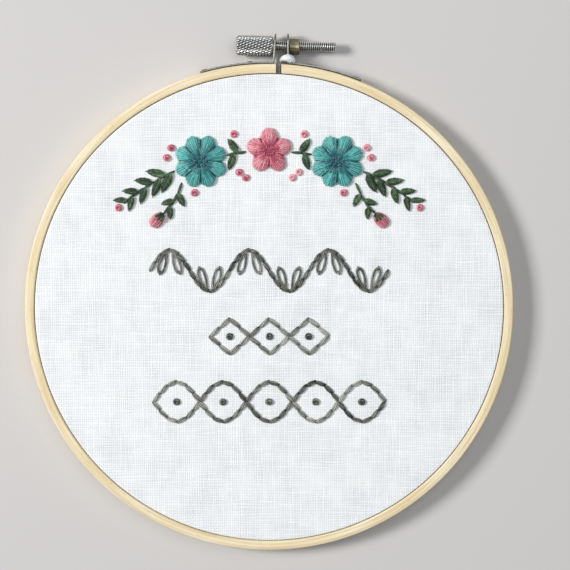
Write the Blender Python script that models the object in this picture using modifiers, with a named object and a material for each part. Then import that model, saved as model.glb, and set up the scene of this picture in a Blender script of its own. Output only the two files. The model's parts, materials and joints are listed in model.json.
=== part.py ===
# Hoop embroidery art: cloth stretched in a wooden hoop, with a screw clamp and raised thread work.
# Units are metres. The part lies flat, face up: X to the right, Y up the picture, Z off the surface.
# The origin is at the middle of the whole part's underside.
import math

import bmesh
import bpy
from mathutils import Matrix, Vector

PIECE_GAP = 0.0003

# Hoop rings
HOOP_BORE_RADIUS = 0.0889
RING_WALL = 0.0035
RING_HEIGHT = 0.0090
RING_CHAMFER = 0.0005
RING_STEPS = 96
RING_OUTER_RADIUS = HOOP_BORE_RADIUS + RING_WALL

# Cloth, which lies over the inner ring and goes down between the rings
CLOTH_THICKNESS = 0.0010
CLOTH_TOP = 0.0088
CLOTH_HEM = 0.0005
CLOTH_EDGE_ROUND = 0.0006
CLOTH_EDGE_CUT = 0.0002
CLOTH_UNDERSIDE = CLOTH_TOP - CLOTH_THICKNESS
CLOTH_OUTER_RADIUS = HOOP_BORE_RADIUS - PIECE_GAP
CLOTH_INNER_RADIUS = CLOTH_OUTER_RADIUS - CLOTH_THICKNESS
INNER_RING_OUTER_RADIUS = CLOTH_INNER_RADIUS - PIECE_GAP
INNER_RING_HEIGHT = CLOTH_UNDERSIDE - PIECE_GAP

# Split in the outer ring
SPLIT_X = 0.0036
SPLIT_WIDTH = 0.0021

# Clamp brackets, each a strip along the ring with an upright lug
METAL_THICKNESS = 0.0006
BRACKET_HEIGHT = 0.0070
BRACKET_MIDDLE = RING_HEIGHT / 2
STRIP_RADIUS = RING_OUTER_RADIUS + PIECE_GAP
STRIP_STEPS = 8
LUG_TOP = 0.1038
LUG_ARC_STEPS = 10
LEFT_LUG_X = 0.0022
LEFT_LUG_LEAN = math.radians(4)
LEFT_STRIP_END_X = -0.0258
LEFT_PIPS_X = (-0.0072, -0.0242)
RIGHT_LUG_X = 0.0071
RIGHT_STRIP_END_X = 0.0345
RIGHT_PIPS_X = (0.0150, 0.0329)
PIP_RADIUS = 0.0013
PIP_HEIGHT = 0.0005
HOLE_SIDES = 20

# Thumbscrew and nut, on one axis that dips a little to the right
SCREW_AXIS_X = 0.0050
SCREW_AXIS_Y = 0.0992
SCREW_TILT = math.radians(-1)
SCREW_STEPS = 28
THREAD_RADIUS = 0.0019
THREAD_CHAMFER = 0.0004
HOLE_RADIUS = THREAD_RADIUS + 0.00035
HEAD_RADIUS = 0.0038
HEAD_CHAMFER = 0.0005
HEAD_LEFT_X = -0.0122
HEAD_RIGHT_X = 0.0014
SHOULDER_RADIUS = 0.0026
SHOULDER_RIGHT_X = 0.0016
SCREW_END_X = 0.0250
NUT_LEFT_X = 0.0078
NUT_LENGTH = 0.0036
NUT_CORNER_RADIUS = 0.0034
NUT_TURN = math.radians(-20)
NUT_BEVEL = 0.00025
NUT_SIDES = 6

# Fold of cloth that comes out through the split and lies over the right bracket's foot
# Columns: x, y, z and radius
FOLD_ROWS = (
    (0.0039, 0.0881, 0.0034, 0.00040),
    (0.0039, 0.0905, 0.0034, 0.00040),
    (0.0040, 0.0926, 0.0040, 0.00045),
    (0.0046, 0.0938, 0.0062, 0.00070),
    (0.0054, 0.0944, 0.0086, 0.00105),
    (0.0067, 0.0945, 0.0102, 0.00145),
    (0.0084, 0.0940, 0.0101, 0.00150),
    (0.0100, 0.0932, 0.0097, 0.00085),
)
FOLD_STEPS = 3

# Thread work on the cloth's face: blossoms, stems and knots along an arch
THREAD_BASE = CLOTH_TOP + PIECE_GAP
ARCH_RADIUS = 0.0860
ARCH_CREST_Y = 0.0600
MIDDLE_BLOSSOM_RADIUS = 0.0086
MIDDLE_BLOSSOM_PETALS = 5
MIDDLE_BLOSSOM_NOTCH = 0.30
SIDE_BLOSSOM_RADIUS = 0.0100
SIDE_BLOSSOM_PETALS = 8
SIDE_BLOSSOM_NOTCH = 0.16
SIDE_BLOSSOM_ALONG = 0.0260
BLOSSOM_HEIGHT = 0.0024
BLOSSOM_SIDES_A_PETAL = 6
BLOSSOM_RINGS = 10

# As shares of a blossom's height or radius: its hollow middle and the valleys between petals
HOLLOW_DEPTH = 0.35
HOLLOW_REACH = 0.30
VALLEY_DEPTH = 0.50
VALLEY_SHARPNESS = 3

# Stems, leaves and knots
STEM_RADIUS = 0.0005
STEM_CLEARANCE = 0.0007
STEM_STEPS = 8
SPRIG_END_ALONG = 0.0590
SPRIG_LEAVES = 8
SPRIG_LEAF_SPACING = 0.0026
SPRIG_FIRST_LEAF = 0.6
SPRIG_LEAF_TURN = math.radians(38)
LEAF_LENGTH = 0.0085
LEAF_WIDTH = 0.0031
LEAF_SHRINK = 0.05
STEM_LEAF_LENGTH = 0.0066
STEM_LEAF_WIDTH = 0.0027
STEM_LEAF_TURN = math.radians(62)
STEM_LEAF_SHARES = (0.42, 0.58)
STEM_HEIGHT = 0.0010
LEAF_LIFT = 0.0002
LEAF_HEIGHT = 0.0009
KNOT_RADIUS = 0.0015
KNOT_HEIGHT = 0.0014
DOME_SIDES = 8
DOME_RINGS = 4

# Places along the arch from its crest and off it outwards, the same on both sides
KNOT_ROWS = (
    (0.0122, 0.0072),
    (0.0122, -0.0072),
    (0.0098, -0.0095),
    (0.0342, 0.0085),
    (0.0370, 0.0058),
    (0.0326, -0.0103),
    (0.0618, 0.0000),
)
TENDRIL_ROWS = (
    (0.0359, -0.0053),
    (0.0395, -0.0083),
    (0.0436, -0.0106),
    (0.0484, -0.0118),
)

# Columns: share of the stem, turn in degrees, length and width
TENDRIL_LEAVES = (
    (0.30, -52, 0.0056, 0.0024),
    (0.52, 44, 0.0052, 0.0023),
    (0.74, -44, 0.0048, 0.0022),
)
BUD_LENGTH = 0.0068
BUD_WIDTH = 0.0046
BUD_HEIGHT = 0.0016
BUD_SIDES = 12
BUD_RINGS = 6

# Borders in grey stitches, one below the other: a leafy wave, a row of diamonds and a braid
LINE_RADIUS = 0.0008
LINE_HEIGHT = 0.0009
UNDERLINE_HEIGHT = 0.0007
UNDERLINE_LIFT = 0.0001
CURVE_STEPS = 12
WAVE_Y = 0.0150
WAVE_LENGTH = 0.0300
WAVE_COUNT = 3
WAVE_RISE = 0.0080
WAVE_LEAF_LENGTH = 0.0092
WAVE_LEAF_WIDTH = 0.0032
WAVE_LEAF_TURN = math.radians(17)
WAVE_LEAF_APART = 0.0012
DIAMOND_Y = -0.0100
DIAMOND_WIDTH = 0.0150
DIAMOND_COUNT = 3
DIAMOND_RISE = 0.0068
DIAMOND_STEPS = 4
BRAID_Y = -0.0350
BRAID_EYE = 0.0176
BRAID_COUNT = 5
BRAID_RISE = 0.0078
EYE_KNOT_RADIUS = 0.0015

# The hoop's centre lies below the whole part's middle, because the clamp stands out at the top
HOOP_CENTRE_Y = -(LUG_TOP - RING_OUTER_RADIUS) / 2

# Finishes: name, colour, roughness, metallic
WOOD = ("bamboo", (0.82, 0.68, 0.44), 0.45, 0.0)
WHITE_CLOTH = ("white_cotton", (0.86, 0.88, 0.90), 0.9, 0.0)
STEEL = ("steel", (0.55, 0.55, 0.53), 0.3, 1.0)
BRASS = ("aged_brass", (0.33, 0.29, 0.17), 0.4, 1.0)
TEAL = ("teal_thread", (0.05, 0.32, 0.33), 0.6, 0.0)
ROSE = ("rose_thread", (0.62, 0.16, 0.24), 0.6, 0.0)
GREEN = ("green_thread", (0.04, 0.09, 0.04), 0.6, 0.0)
GREY = ("grey_thread", (0.18, 0.18, 0.17), 0.7, 0.0)


# Scene helpers
def clear_scene():
    for item in list(bpy.data.objects):
        bpy.data.objects.remove(item, do_unlink=True)


def new_collection(name):
    collection = bpy.data.collections.new(name)
    bpy.context.scene.collection.children.link(collection)
    return collection


def new_empty(name, location, turn_z=0.0, parent=None):
    empty = bpy.data.objects.new(name, None)
    PARTS.objects.link(empty)
    empty.location = location
    empty.rotation_euler = (0, 0, turn_z)
    empty.parent = parent
    return empty


def get_material(finish):
    name, colour, roughness, metallic = finish
    material = bpy.data.materials.get(name)
    if material is None:
        material = bpy.data.materials.new(name)
        material.use_nodes = True
        shader = material.node_tree.nodes["Principled BSDF"]
        shader.inputs["Base Color"].default_value = (*colour, 1)
        shader.inputs["Roughness"].default_value = roughness
        shader.inputs["Metallic"].default_value = metallic
        material.diffuse_color = (*colour, 1)
    return material


def new_part(name, mesh, finish, parent, location=(0, 0, 0), rotation=(0, 0, 0)):
    part = bpy.data.objects.new(name, mesh)
    PARTS.objects.link(part)
    part.parent = parent
    part.location = location
    part.rotation_euler = rotation
    mesh.materials.clear()
    mesh.materials.append(get_material(finish))
    mesh.shade_smooth()
    mesh.set_sharp_from_angle(angle=math.radians(40))
    return part


def new_guide(name, data):
    guide = bpy.data.objects.new(name, data)
    GUIDES.objects.link(guide)
    guide.hide_render = True
    guide.display_type = "WIRE"
    return guide


def mesh_from_bmesh(name, shape):
    mesh = bpy.data.meshes.new(name)
    shape.to_mesh(mesh)
    shape.free()
    return mesh


def taken_mesh(guide):
    """The guide's shape as a plain mesh, its doubles merged; the guide is removed."""
    bpy.context.view_layer.update()
    graph = bpy.context.evaluated_depsgraph_get()
    mesh = bpy.data.meshes.new_from_object(guide.evaluated_get(graph))
    mesh.transform(guide.matrix_world)
    bpy.data.objects.remove(guide, do_unlink=True)
    shape = bmesh.new()
    shape.from_mesh(mesh)
    bmesh.ops.remove_doubles(shape, verts=shape.verts, dist=1e-6)
    shape.to_mesh(mesh)
    shape.free()
    return mesh


def combined(first, second, operation):
    """A boolean of two meshes."""
    body = new_guide("body", first)
    tool = new_guide("tool", second)
    boolean = body.modifiers.new("combine", "BOOLEAN")
    boolean.operation = operation
    boolean.object = tool
    mesh = taken_mesh(body)
    bpy.data.objects.remove(tool, do_unlink=True)
    return mesh


def joined(meshes):
    """Separate closed shapes in one mesh, for use as one side of a boolean."""
    shape = bmesh.new()
    for mesh in meshes:
        shape.from_mesh(mesh)
    return mesh_from_bmesh("joined", shape)


def moved(mesh, matrix):
    mesh.transform(matrix)
    return mesh


# Shape helpers
def turned(profile, steps, closed):
    """A profile of (radius, height) points, outer side first from the top, turned about Z."""
    shape = bmesh.new()
    verts = [shape.verts.new((radius, 0, height)) for radius, height in profile]
    for first, second in zip(verts, verts[1:]):
        shape.edges.new((first, second))
    if closed:
        shape.edges.new((verts[-1], verts[0]))
    guide = new_guide("profile", mesh_from_bmesh("profile", shape))
    screw = guide.modifiers.new("turn", "SCREW")
    screw.steps = steps
    screw.render_steps = steps
    screw.use_merge_vertices = True
    screw.merge_threshold = 1e-5
    return taken_mesh(guide)


def ring_profile(inner, outer, height, chamfer):
    return (
        (outer - chamfer, height),
        (outer, height - chamfer),
        (outer, chamfer),
        (outer - chamfer, 0),
        (inner + chamfer, 0),
        (inner, chamfer),
        (inner, height - chamfer),
        (inner + chamfer, height),
    )


def cylinder(radius, length, sides):
    """A cylinder along Z, centred."""
    shape = bmesh.new()
    bmesh.ops.create_cone(
        shape, cap_ends=True, segments=sides, radius1=radius, radius2=radius, depth=length
    )
    return mesh_from_bmesh("cylinder", shape)


def box(size_x, size_y, size_z):
    shape = bmesh.new()
    bmesh.ops.create_cube(shape, size=1)
    bmesh.ops.scale(shape, verts=shape.verts, vec=(size_x, size_y, size_z))
    return mesh_from_bmesh("box", shape)


def flat_outline(loops, thickness):
    """Closed loops of (x, y) points filled and given a thickness; inner loops are holes."""
    curve = bpy.data.curves.new("outline", "CURVE")
    curve.dimensions = "2D"
    curve.fill_mode = "BOTH"
    curve.extrude = thickness / 2
    for loop in loops:
        spline = curve.splines.new("POLY")
        spline.points.add(len(loop) - 1)
        for point, (x, y) in zip(spline.points, loop):
            point.co = (x, y, 0, 1)
        spline.use_cyclic_u = True
    return taken_mesh(new_guide("outline", curve))


def tube(points, radii):
    """A tube through a list of points, with a radius at each."""
    curve = bpy.data.curves.new("tube", "CURVE")
    curve.dimensions = "3D"
    curve.bevel_depth = 1
    curve.bevel_resolution = 2
    curve.use_fill_caps = True
    spline = curve.splines.new("POLY")
    spline.points.add(len(points) - 1)
    for point, place, radius in zip(spline.points, points, radii):
        point.co = (*place, 1)
        point.radius = radius
    return taken_mesh(new_guide("tube", curve))


def thread_line(points, radius, height, lift=0.0):
    """A low raised line through (x, y) points, its underside lifted off zero."""
    mesh = tube([(x, y, 0) for x, y in points], [radius] * len(points))
    mesh.transform(Matrix.Diagonal((1, 1, height / (2 * radius), 1)))
    return moved(mesh, Matrix.Translation((0, 0, height / 2 + lift)))


def crossed(first, second):
    """Two lines that cross, the second a little lower so that they join cleanly."""
    over = thread_line(first, LINE_RADIUS, LINE_HEIGHT)
    under = thread_line(second, LINE_RADIUS, UNDERLINE_HEIGHT, UNDERLINE_LIFT)
    return combined(over, under, "UNION")


def smooth_rows(rows, steps):
    """Rows of numbers with smooth steps put in between them (Catmull-Rom)."""
    padded = [rows[0], *rows, rows[-1]]
    result = []
    for before, start, end, after in zip(padded, padded[1:], padded[2:], padded[3:]):
        for step in range(steps):
            t = step / steps
            weights = (
                (-t + 2 * t**2 - t**3) / 2,
                (2 - 5 * t**2 + 3 * t**3) / 2,
                (t + 4 * t**2 - 3 * t**3) / 2,
                (-(t**2) + t**3) / 2,
            )
            columns = zip(before, start, end, after)
            result.append([sum(w * value for w, value in zip(weights, four)) for four in columns])
    result.append(list(rows[-1]))
    return result


def dome(radius_x, radius_y, height, sides=DOME_SIDES, rings=DOME_RINGS):
    """The upper half of a flattened sphere, on a flat base at zero."""
    shape = bmesh.new()
    bmesh.ops.create_uvsphere(shape, u_segments=sides, v_segments=rings, radius=1)
    low = [vert for vert in shape.verts if vert.co.z < -1e-6]
    bmesh.ops.delete(shape, geom=low, context="VERTS")
    bmesh.ops.holes_fill(shape, edges=shape.edges, sides=0)
    bmesh.ops.scale(shape, verts=shape.verts, vec=(radius_x, radius_y, height))
    return mesh_from_bmesh("dome", shape)


def blossom(radius, height, petals, notch):
    """A low dome with petals round its rim and a shallow hollow in the middle."""
    shape = bmesh.new()
    sides = petals * BLOSSOM_SIDES_A_PETAL
    bmesh.ops.create_uvsphere(shape, u_segments=sides, v_segments=BLOSSOM_RINGS, radius=1)
    low = [vert for vert in shape.verts if vert.co.z < -1e-6]
    bmesh.ops.delete(shape, geom=low, context="VERTS")
    bmesh.ops.holes_fill(shape, edges=shape.edges, sides=0)
    for vert in shape.verts:
        reach = math.hypot(vert.co.x, vert.co.y)
        angle = math.atan2(vert.co.y, vert.co.x)
        valley = abs(math.cos(petals * angle / 2)) ** VALLEY_SHARPNESS
        hollow = 1 - HOLLOW_DEPTH * math.exp(-((reach / HOLLOW_REACH) ** 2))
        lobe = 1 - notch * valley * reach**2
        vert.co.x *= radius * lobe
        vert.co.y *= radius * lobe
        vert.co.z *= height * hollow * (1 - VALLEY_DEPTH * valley * reach)
    return mesh_from_bmesh("blossom", shape)


def circle(centre_x, centre_y, radius, sides):
    angles = [2 * math.pi * side / sides for side in range(sides)]
    return [(centre_x + radius * math.cos(a), centre_y + radius * math.sin(a)) for a in angles]


def arch_point(along, off=0.0):
    """A place measured along the arch from its crest, and off it outwards."""
    angle = along / ARCH_RADIUS
    reach = ARCH_RADIUS + off
    centre_y = ARCH_CREST_Y - ARCH_RADIUS
    return Vector((reach * math.sin(angle), centre_y + reach * math.cos(angle)))


def ring_angle(x, radius):
    """The angle from the top of the hoop, clockwise, at which a circle reaches x."""
    return math.asin(x / radius)


# Hoop
def make_rings():
    outer = turned(
        ring_profile(HOOP_BORE_RADIUS, RING_OUTER_RADIUS, RING_HEIGHT, RING_CHAMFER), RING_STEPS, True
    )
    split = moved(
        box(SPLIT_WIDTH, 4 * RING_WALL, 3 * RING_HEIGHT),
        Matrix.Translation((SPLIT_X, RING_OUTER_RADIUS, RING_HEIGHT / 2)),
    )
    new_part("outer_ring", combined(outer, split, "DIFFERENCE"), WOOD, HOOP)
    inner_radius = INNER_RING_OUTER_RADIUS - RING_WALL
    inner = turned(
        ring_profile(inner_radius, INNER_RING_OUTER_RADIUS, INNER_RING_HEIGHT, RING_CHAMFER),
        RING_STEPS,
        True,
    )
    new_part("inner_ring", inner, WOOD, HOOP)


def make_cloth():
    profile = (
        (0, CLOTH_TOP),
        (CLOTH_OUTER_RADIUS - CLOTH_EDGE_ROUND, CLOTH_TOP),
        (CLOTH_OUTER_RADIUS - CLOTH_EDGE_CUT, CLOTH_TOP - CLOTH_EDGE_CUT),
        (CLOTH_OUTER_RADIUS, CLOTH_TOP - CLOTH_EDGE_ROUND),
        (CLOTH_OUTER_RADIUS, CLOTH_HEM),
        (CLOTH_INNER_RADIUS, CLOTH_HEM),
        (CLOTH_INNER_RADIUS, CLOTH_UNDERSIDE),
        (0, CLOTH_UNDERSIDE),
    )
    sheet = turned(profile, RING_STEPS, False)
    rows = smooth_rows(FOLD_ROWS, FOLD_STEPS)
    fold = tube([row[:3] for row in rows], [row[3] for row in rows])
    new_part("cloth", combined(sheet, fold, "UNION"), WHITE_CLOTH, HOOP)


# Clamp
def strip_mesh(start_angle, end_angle):
    """A band that follows the ring, between two angles."""
    steps = range(STRIP_STEPS + 1)
    angles = [start_angle + (end_angle - start_angle) * step / STRIP_STEPS for step in steps]
    near = [(STRIP_RADIUS * math.sin(a), STRIP_RADIUS * math.cos(a)) for a in angles]
    far_radius = STRIP_RADIUS + METAL_THICKNESS
    far = [(far_radius * math.sin(a), far_radius * math.cos(a)) for a in reversed(angles)]
    mesh = flat_outline([near + far], BRACKET_HEIGHT)
    return moved(mesh, Matrix.Translation((0, 0, BRACKET_MIDDLE)))


def lug_mesh(axis_x, axis_y, lean):
    """An upright tongue with a round top and the screw's hole, standing on the strip."""
    half = BRACKET_HEIGHT / 2
    top_centre = LUG_TOP - half - axis_y
    foot = STRIP_RADIUS + METAL_THICKNESS / 2 - axis_y
    arc = [math.pi * step / LUG_ARC_STEPS for step in range(LUG_ARC_STEPS + 1)]
    tongue = [(half * math.cos(a), top_centre + half * math.sin(a)) for a in arc]
    tongue += [(-half, foot), (half, foot)]
    mesh = flat_outline([tongue, circle(0, 0, HOLE_RADIUS, HOLE_SIDES)], METAL_THICKNESS)
    mesh.transform(Matrix.Rotation(math.pi / 2, 4, "Y"))
    mesh.transform(Matrix.Rotation(-lean, 4, "Z"))
    return moved(mesh, Matrix.Translation((axis_x, axis_y, BRACKET_MIDDLE)))


def pip_mesh(x):
    """A rounded pip that stands out of the strip's outer face."""
    angle = ring_angle(x, STRIP_RADIUS)
    mesh = dome(PIP_RADIUS, PIP_RADIUS, PIP_HEIGHT + METAL_THICKNESS / 2)
    mesh.transform(Matrix.Rotation(-math.pi / 2, 4, "X"))
    mesh.transform(Matrix.Translation((0, STRIP_RADIUS + METAL_THICKNESS / 2, BRACKET_MIDDLE)))
    return moved(mesh, Matrix.Rotation(-angle, 4, "Z"))


def axis_height(x):
    """The screw axis, which is tilted, at a place across the hoop."""
    return SCREW_AXIS_Y + (x - SCREW_AXIS_X) * math.tan(SCREW_TILT)


def make_bracket(name, lug_x, lean, strip_end_x, pips_x):
    axis_y = axis_height(lug_x)
    foot_x = lug_x - (axis_y - STRIP_RADIUS) * math.tan(lean)
    outward_side = math.copysign(METAL_THICKNESS / 2, foot_x - strip_end_x)
    start = ring_angle(foot_x + outward_side, STRIP_RADIUS)
    strip = strip_mesh(start, ring_angle(strip_end_x, STRIP_RADIUS))
    mesh = combined(strip, lug_mesh(lug_x, axis_y, lean), "UNION")
    mesh = combined(mesh, joined([pip_mesh(x) for x in pips_x]), "UNION")
    new_part(name, mesh, STEEL, HOOP)


def make_screw():
    """The thumbscrew is turned about its own Z axis and laid along the clamp's axis."""
    right = SCREW_END_X - SCREW_AXIS_X
    left = HEAD_LEFT_X - SCREW_AXIS_X
    head_right = HEAD_RIGHT_X - SCREW_AXIS_X
    shoulder_right = SHOULDER_RIGHT_X - SCREW_AXIS_X
    profile = (
        (0, right),
        (THREAD_RADIUS - THREAD_CHAMFER, right),
        (THREAD_RADIUS, right - THREAD_CHAMFER),
        (THREAD_RADIUS, shoulder_right),
        (SHOULDER_RADIUS, shoulder_right),
        (SHOULDER_RADIUS, head_right),
        (HEAD_RADIUS - HEAD_CHAMFER, head_right),
        (HEAD_RADIUS, head_right - HEAD_CHAMFER),
        (HEAD_RADIUS, left + 2 * HEAD_CHAMFER),
        (HEAD_RADIUS - HEAD_CHAMFER, left + HEAD_CHAMFER / 2),
        (HEAD_RADIUS - 2 * HEAD_CHAMFER, left),
        (0, left),
    )
    screw = turned(profile, SCREW_STEPS, False)
    new_part("thumb_screw", screw, STEEL, SCREW_AXIS, rotation=(0, math.pi / 2, 0))


def make_nut():
    block = new_guide("nut", cylinder(NUT_CORNER_RADIUS, NUT_LENGTH, NUT_SIDES))
    bevel = block.modifiers.new("edges", "BEVEL")
    bevel.width = NUT_BEVEL
    bevel.segments = 1
    bore = cylinder(HOLE_RADIUS, 2 * NUT_LENGTH, HOLE_SIDES)
    nut = combined(taken_mesh(block), bore, "DIFFERENCE")
    nut.transform(Matrix.Rotation(NUT_TURN, 4, "Z"))
    middle = NUT_LEFT_X + NUT_LENGTH / 2 - SCREW_AXIS_X
    new_part("nut", nut, BRASS, SCREW_AXIS, (middle, 0, 0), (0, math.pi / 2, 0))


# Thread work
def leaf_mesh(base, angle, length, width):
    """A low leaf that starts at base and points along angle."""
    mesh = dome(length / 2, width / 2, LEAF_HEIGHT)
    mesh.transform(Matrix.Translation((length / 2, 0, 0)))
    mesh.transform(Matrix.Rotation(angle, 4, "Z"))
    return moved(mesh, Matrix.Translation((base[0], base[1], LEAF_LIFT)))


def sprig(name, side, stem_rows, leaves):
    """A stem through places on the arch, with leaves given as (share, turn, length, width)."""
    rows = smooth_rows(stem_rows, STEM_STEPS)
    places = [arch_point(side * along, off) for along, off in rows]
    shapes = []
    for share, turn, length, width in leaves:
        spot = share * (len(places) - 1)
        step = min(int(spot), len(places) - 2)
        base = places[step].lerp(places[step + 1], spot - step)
        ahead = places[step + 1] - places[step]
        heading = math.atan2(ahead.y, ahead.x)
        shapes.append(leaf_mesh(base, heading + side * turn, length, width))
    stem = thread_line(places, STEM_RADIUS, STEM_HEIGHT)
    new_part(name, combined(stem, joined(shapes), "UNION"), GREEN, HOOP, (0, 0, THREAD_BASE))
    return places


def make_inner_stem(word, side):
    """The short stem between the middle blossom and a side one."""
    start = MIDDLE_BLOSSOM_RADIUS + STEM_CLEARANCE
    end = SIDE_BLOSSOM_ALONG - SIDE_BLOSSOM_RADIUS - STEM_CLEARANCE
    leaves = [
        (share, side_turn * STEM_LEAF_TURN, STEM_LEAF_LENGTH, STEM_LEAF_WIDTH)
        for share, side_turn in zip(STEM_LEAF_SHARES, (1, -1))
    ]
    sprig(f"stem_{word}", side, ((start, 0), (end, 0)), leaves)


def make_outer_sprig(word, side):
    """The long sprig beyond a side blossom, its leaves smaller towards the tip."""
    start = SIDE_BLOSSOM_ALONG + SIDE_BLOSSOM_RADIUS + STEM_CLEARANCE
    length = SPRIG_END_ALONG - start
    leaves = []
    for number in range(SPRIG_LEAVES):
        share = (number + SPRIG_FIRST_LEAF) * SPRIG_LEAF_SPACING / length
        turn = SPRIG_LEAF_TURN * (1 if number % 2 else -1)
        size = 1 - LEAF_SHRINK * number
        leaves.append((share, turn, LEAF_LENGTH * size, LEAF_WIDTH * size))
    sprig(f"sprig_{word}", side, ((start, 0), (SPRIG_END_ALONG, 0)), leaves)


def make_tendril(word, side):
    """A curved stem under the long sprig, with a bud at its end."""
    leaves = [
        (share, math.radians(turn), length, width)
        for share, turn, length, width in TENDRIL_LEAVES
    ]
    places = sprig(f"tendril_{word}", side, TENDRIL_ROWS, leaves)
    ahead = (places[-1] - places[-2]).normalized()
    centre = places[-1] + ahead * (BUD_LENGTH / 2 + STEM_CLEARANCE)
    bud = dome(BUD_LENGTH / 2, BUD_WIDTH / 2, BUD_HEIGHT, BUD_SIDES, BUD_RINGS)
    turn = (0, 0, math.atan2(ahead.y, ahead.x))
    new_part(f"bud_{word}", bud, ROSE, HOOP, (*centre, THREAD_BASE), turn)


def make_knot(name, place, radius, finish):
    new_part(name, dome(radius, radius, KNOT_HEIGHT), finish, HOOP, (*place, THREAD_BASE))


def make_garland():
    flower = blossom(
        MIDDLE_BLOSSOM_RADIUS, BLOSSOM_HEIGHT, MIDDLE_BLOSSOM_PETALS, MIDDLE_BLOSSOM_NOTCH
    )
    petal_up = (0, 0, -math.pi / (2 * MIDDLE_BLOSSOM_PETALS))
    new_part("blossom_middle", flower, ROSE, HOOP, (*arch_point(0), THREAD_BASE), petal_up)
    for word, side in (("left", -1), ("right", 1)):
        flower = blossom(
            SIDE_BLOSSOM_RADIUS, BLOSSOM_HEIGHT, SIDE_BLOSSOM_PETALS, SIDE_BLOSSOM_NOTCH
        )
        place = arch_point(side * SIDE_BLOSSOM_ALONG)
        new_part(f"blossom_{word}", flower, TEAL, HOOP, (*place, THREAD_BASE))
        make_inner_stem(word, side)
        make_outer_sprig(word, side)
        make_tendril(word, side)
        for number, (along, off) in enumerate(KNOT_ROWS, 1):
            place = arch_point(side * along, off)
            make_knot(f"knot_{word}_{number}", place, KNOT_RADIUS, ROSE)


def wave_points(length, count, rise, steps, phase=1):
    """A run of waves, centred on zero."""
    total = round(count * steps)
    spread = [step / total - 0.5 for step in range(total + 1)]
    return [
        (count * length * place, phase * rise * math.sin(2 * math.pi * count * (place + 0.5)))
        for place in spread
    ]


def make_wave_border():
    """A wave with a pair of leaves in each of its hollows."""
    line = thread_line(
        wave_points(WAVE_LENGTH, WAVE_COUNT, WAVE_RISE, CURVE_STEPS), LINE_RADIUS, LINE_HEIGHT
    )
    leaves = []
    for number in range(2 * WAVE_COUNT):
        side = 1 if number % 2 == 0 else -1
        x = (number + 0.5 - WAVE_COUNT) * WAVE_LENGTH / 2
        for turn in (WAVE_LEAF_TURN, -WAVE_LEAF_TURN):
            base = (x + math.copysign(WAVE_LEAF_APART, turn * side), side * WAVE_RISE)
            heading = -side * math.pi / 2 + turn
            leaves.append(leaf_mesh(base, heading, WAVE_LEAF_LENGTH, WAVE_LEAF_WIDTH))
    mesh = combined(line, joined(leaves), "UNION")
    new_part("border_wave", mesh, GREY, HOOP, (0, WAVE_Y, THREAD_BASE))


def make_crossed_border(name, y, eye_length, eyes, rise, steps):
    """Two waves that mirror each other and close a row of eyes, with a knot in each eye."""
    lines = [wave_points(2 * eye_length, eyes / 2, rise, steps, phase) for phase in (1, -1)]
    new_part(f"border_{name}", crossed(*lines), GREY, HOOP, (0, y, THREAD_BASE))
    for number in range(eyes):
        place = ((number + 0.5 - eyes / 2) * eye_length, y)
        make_knot(f"knot_{name}_{number + 1}", place, EYE_KNOT_RADIUS, GREY)


clear_scene()
PARTS = new_collection("hoop_embroidery_art")
GUIDES = new_collection("guides")
HOOP = new_empty("hoop_centre", (0, HOOP_CENTRE_Y, 0))
SCREW_AXIS = new_empty("screw_axis", (SCREW_AXIS_X, SCREW_AXIS_Y, BRACKET_MIDDLE), SCREW_TILT, HOOP)
make_rings()
make_cloth()
make_bracket("bracket_left", LEFT_LUG_X, LEFT_LUG_LEAN, LEFT_STRIP_END_X, LEFT_PIPS_X)
make_bracket("bracket_right", RIGHT_LUG_X, 0.0, RIGHT_STRIP_END_X, RIGHT_PIPS_X)
make_screw()
make_nut()
make_garland()
make_wave_border()
make_crossed_border("diamond", DIAMOND_Y, DIAMOND_WIDTH, DIAMOND_COUNT, DIAMOND_RISE, DIAMOND_STEPS)
make_crossed_border("braid", BRAID_Y, BRAID_EYE, BRAID_COUNT, BRAID_RISE, CURVE_STEPS)
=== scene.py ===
# Looks of the hoop embroidery art: a bamboo hoop with a screw clamp, white cotton and thread work.
# Metres. The hoop lies face up: X to the right, Y up the picture, Z off the surface it lies on.
import json
import math
import random

import bmesh
import bpy
from mathutils import Matrix, Vector, kdtree


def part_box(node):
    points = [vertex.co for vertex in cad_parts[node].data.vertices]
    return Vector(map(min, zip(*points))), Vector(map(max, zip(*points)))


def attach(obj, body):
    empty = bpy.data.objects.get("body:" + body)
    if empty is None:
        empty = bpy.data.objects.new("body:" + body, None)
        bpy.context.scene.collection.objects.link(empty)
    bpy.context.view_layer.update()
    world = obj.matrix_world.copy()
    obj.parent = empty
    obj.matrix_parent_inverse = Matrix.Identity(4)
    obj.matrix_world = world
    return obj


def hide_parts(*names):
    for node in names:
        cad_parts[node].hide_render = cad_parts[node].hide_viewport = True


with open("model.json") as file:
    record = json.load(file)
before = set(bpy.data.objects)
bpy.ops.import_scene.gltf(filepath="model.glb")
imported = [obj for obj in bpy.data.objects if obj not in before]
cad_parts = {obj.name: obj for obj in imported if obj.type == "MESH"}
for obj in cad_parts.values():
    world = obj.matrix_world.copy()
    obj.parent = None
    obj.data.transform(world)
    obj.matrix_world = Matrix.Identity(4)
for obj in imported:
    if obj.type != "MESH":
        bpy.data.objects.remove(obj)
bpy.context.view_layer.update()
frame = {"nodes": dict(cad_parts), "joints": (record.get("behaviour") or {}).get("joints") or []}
UV_NAME = "metres"
CHANCE = random.Random(7)

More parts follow.
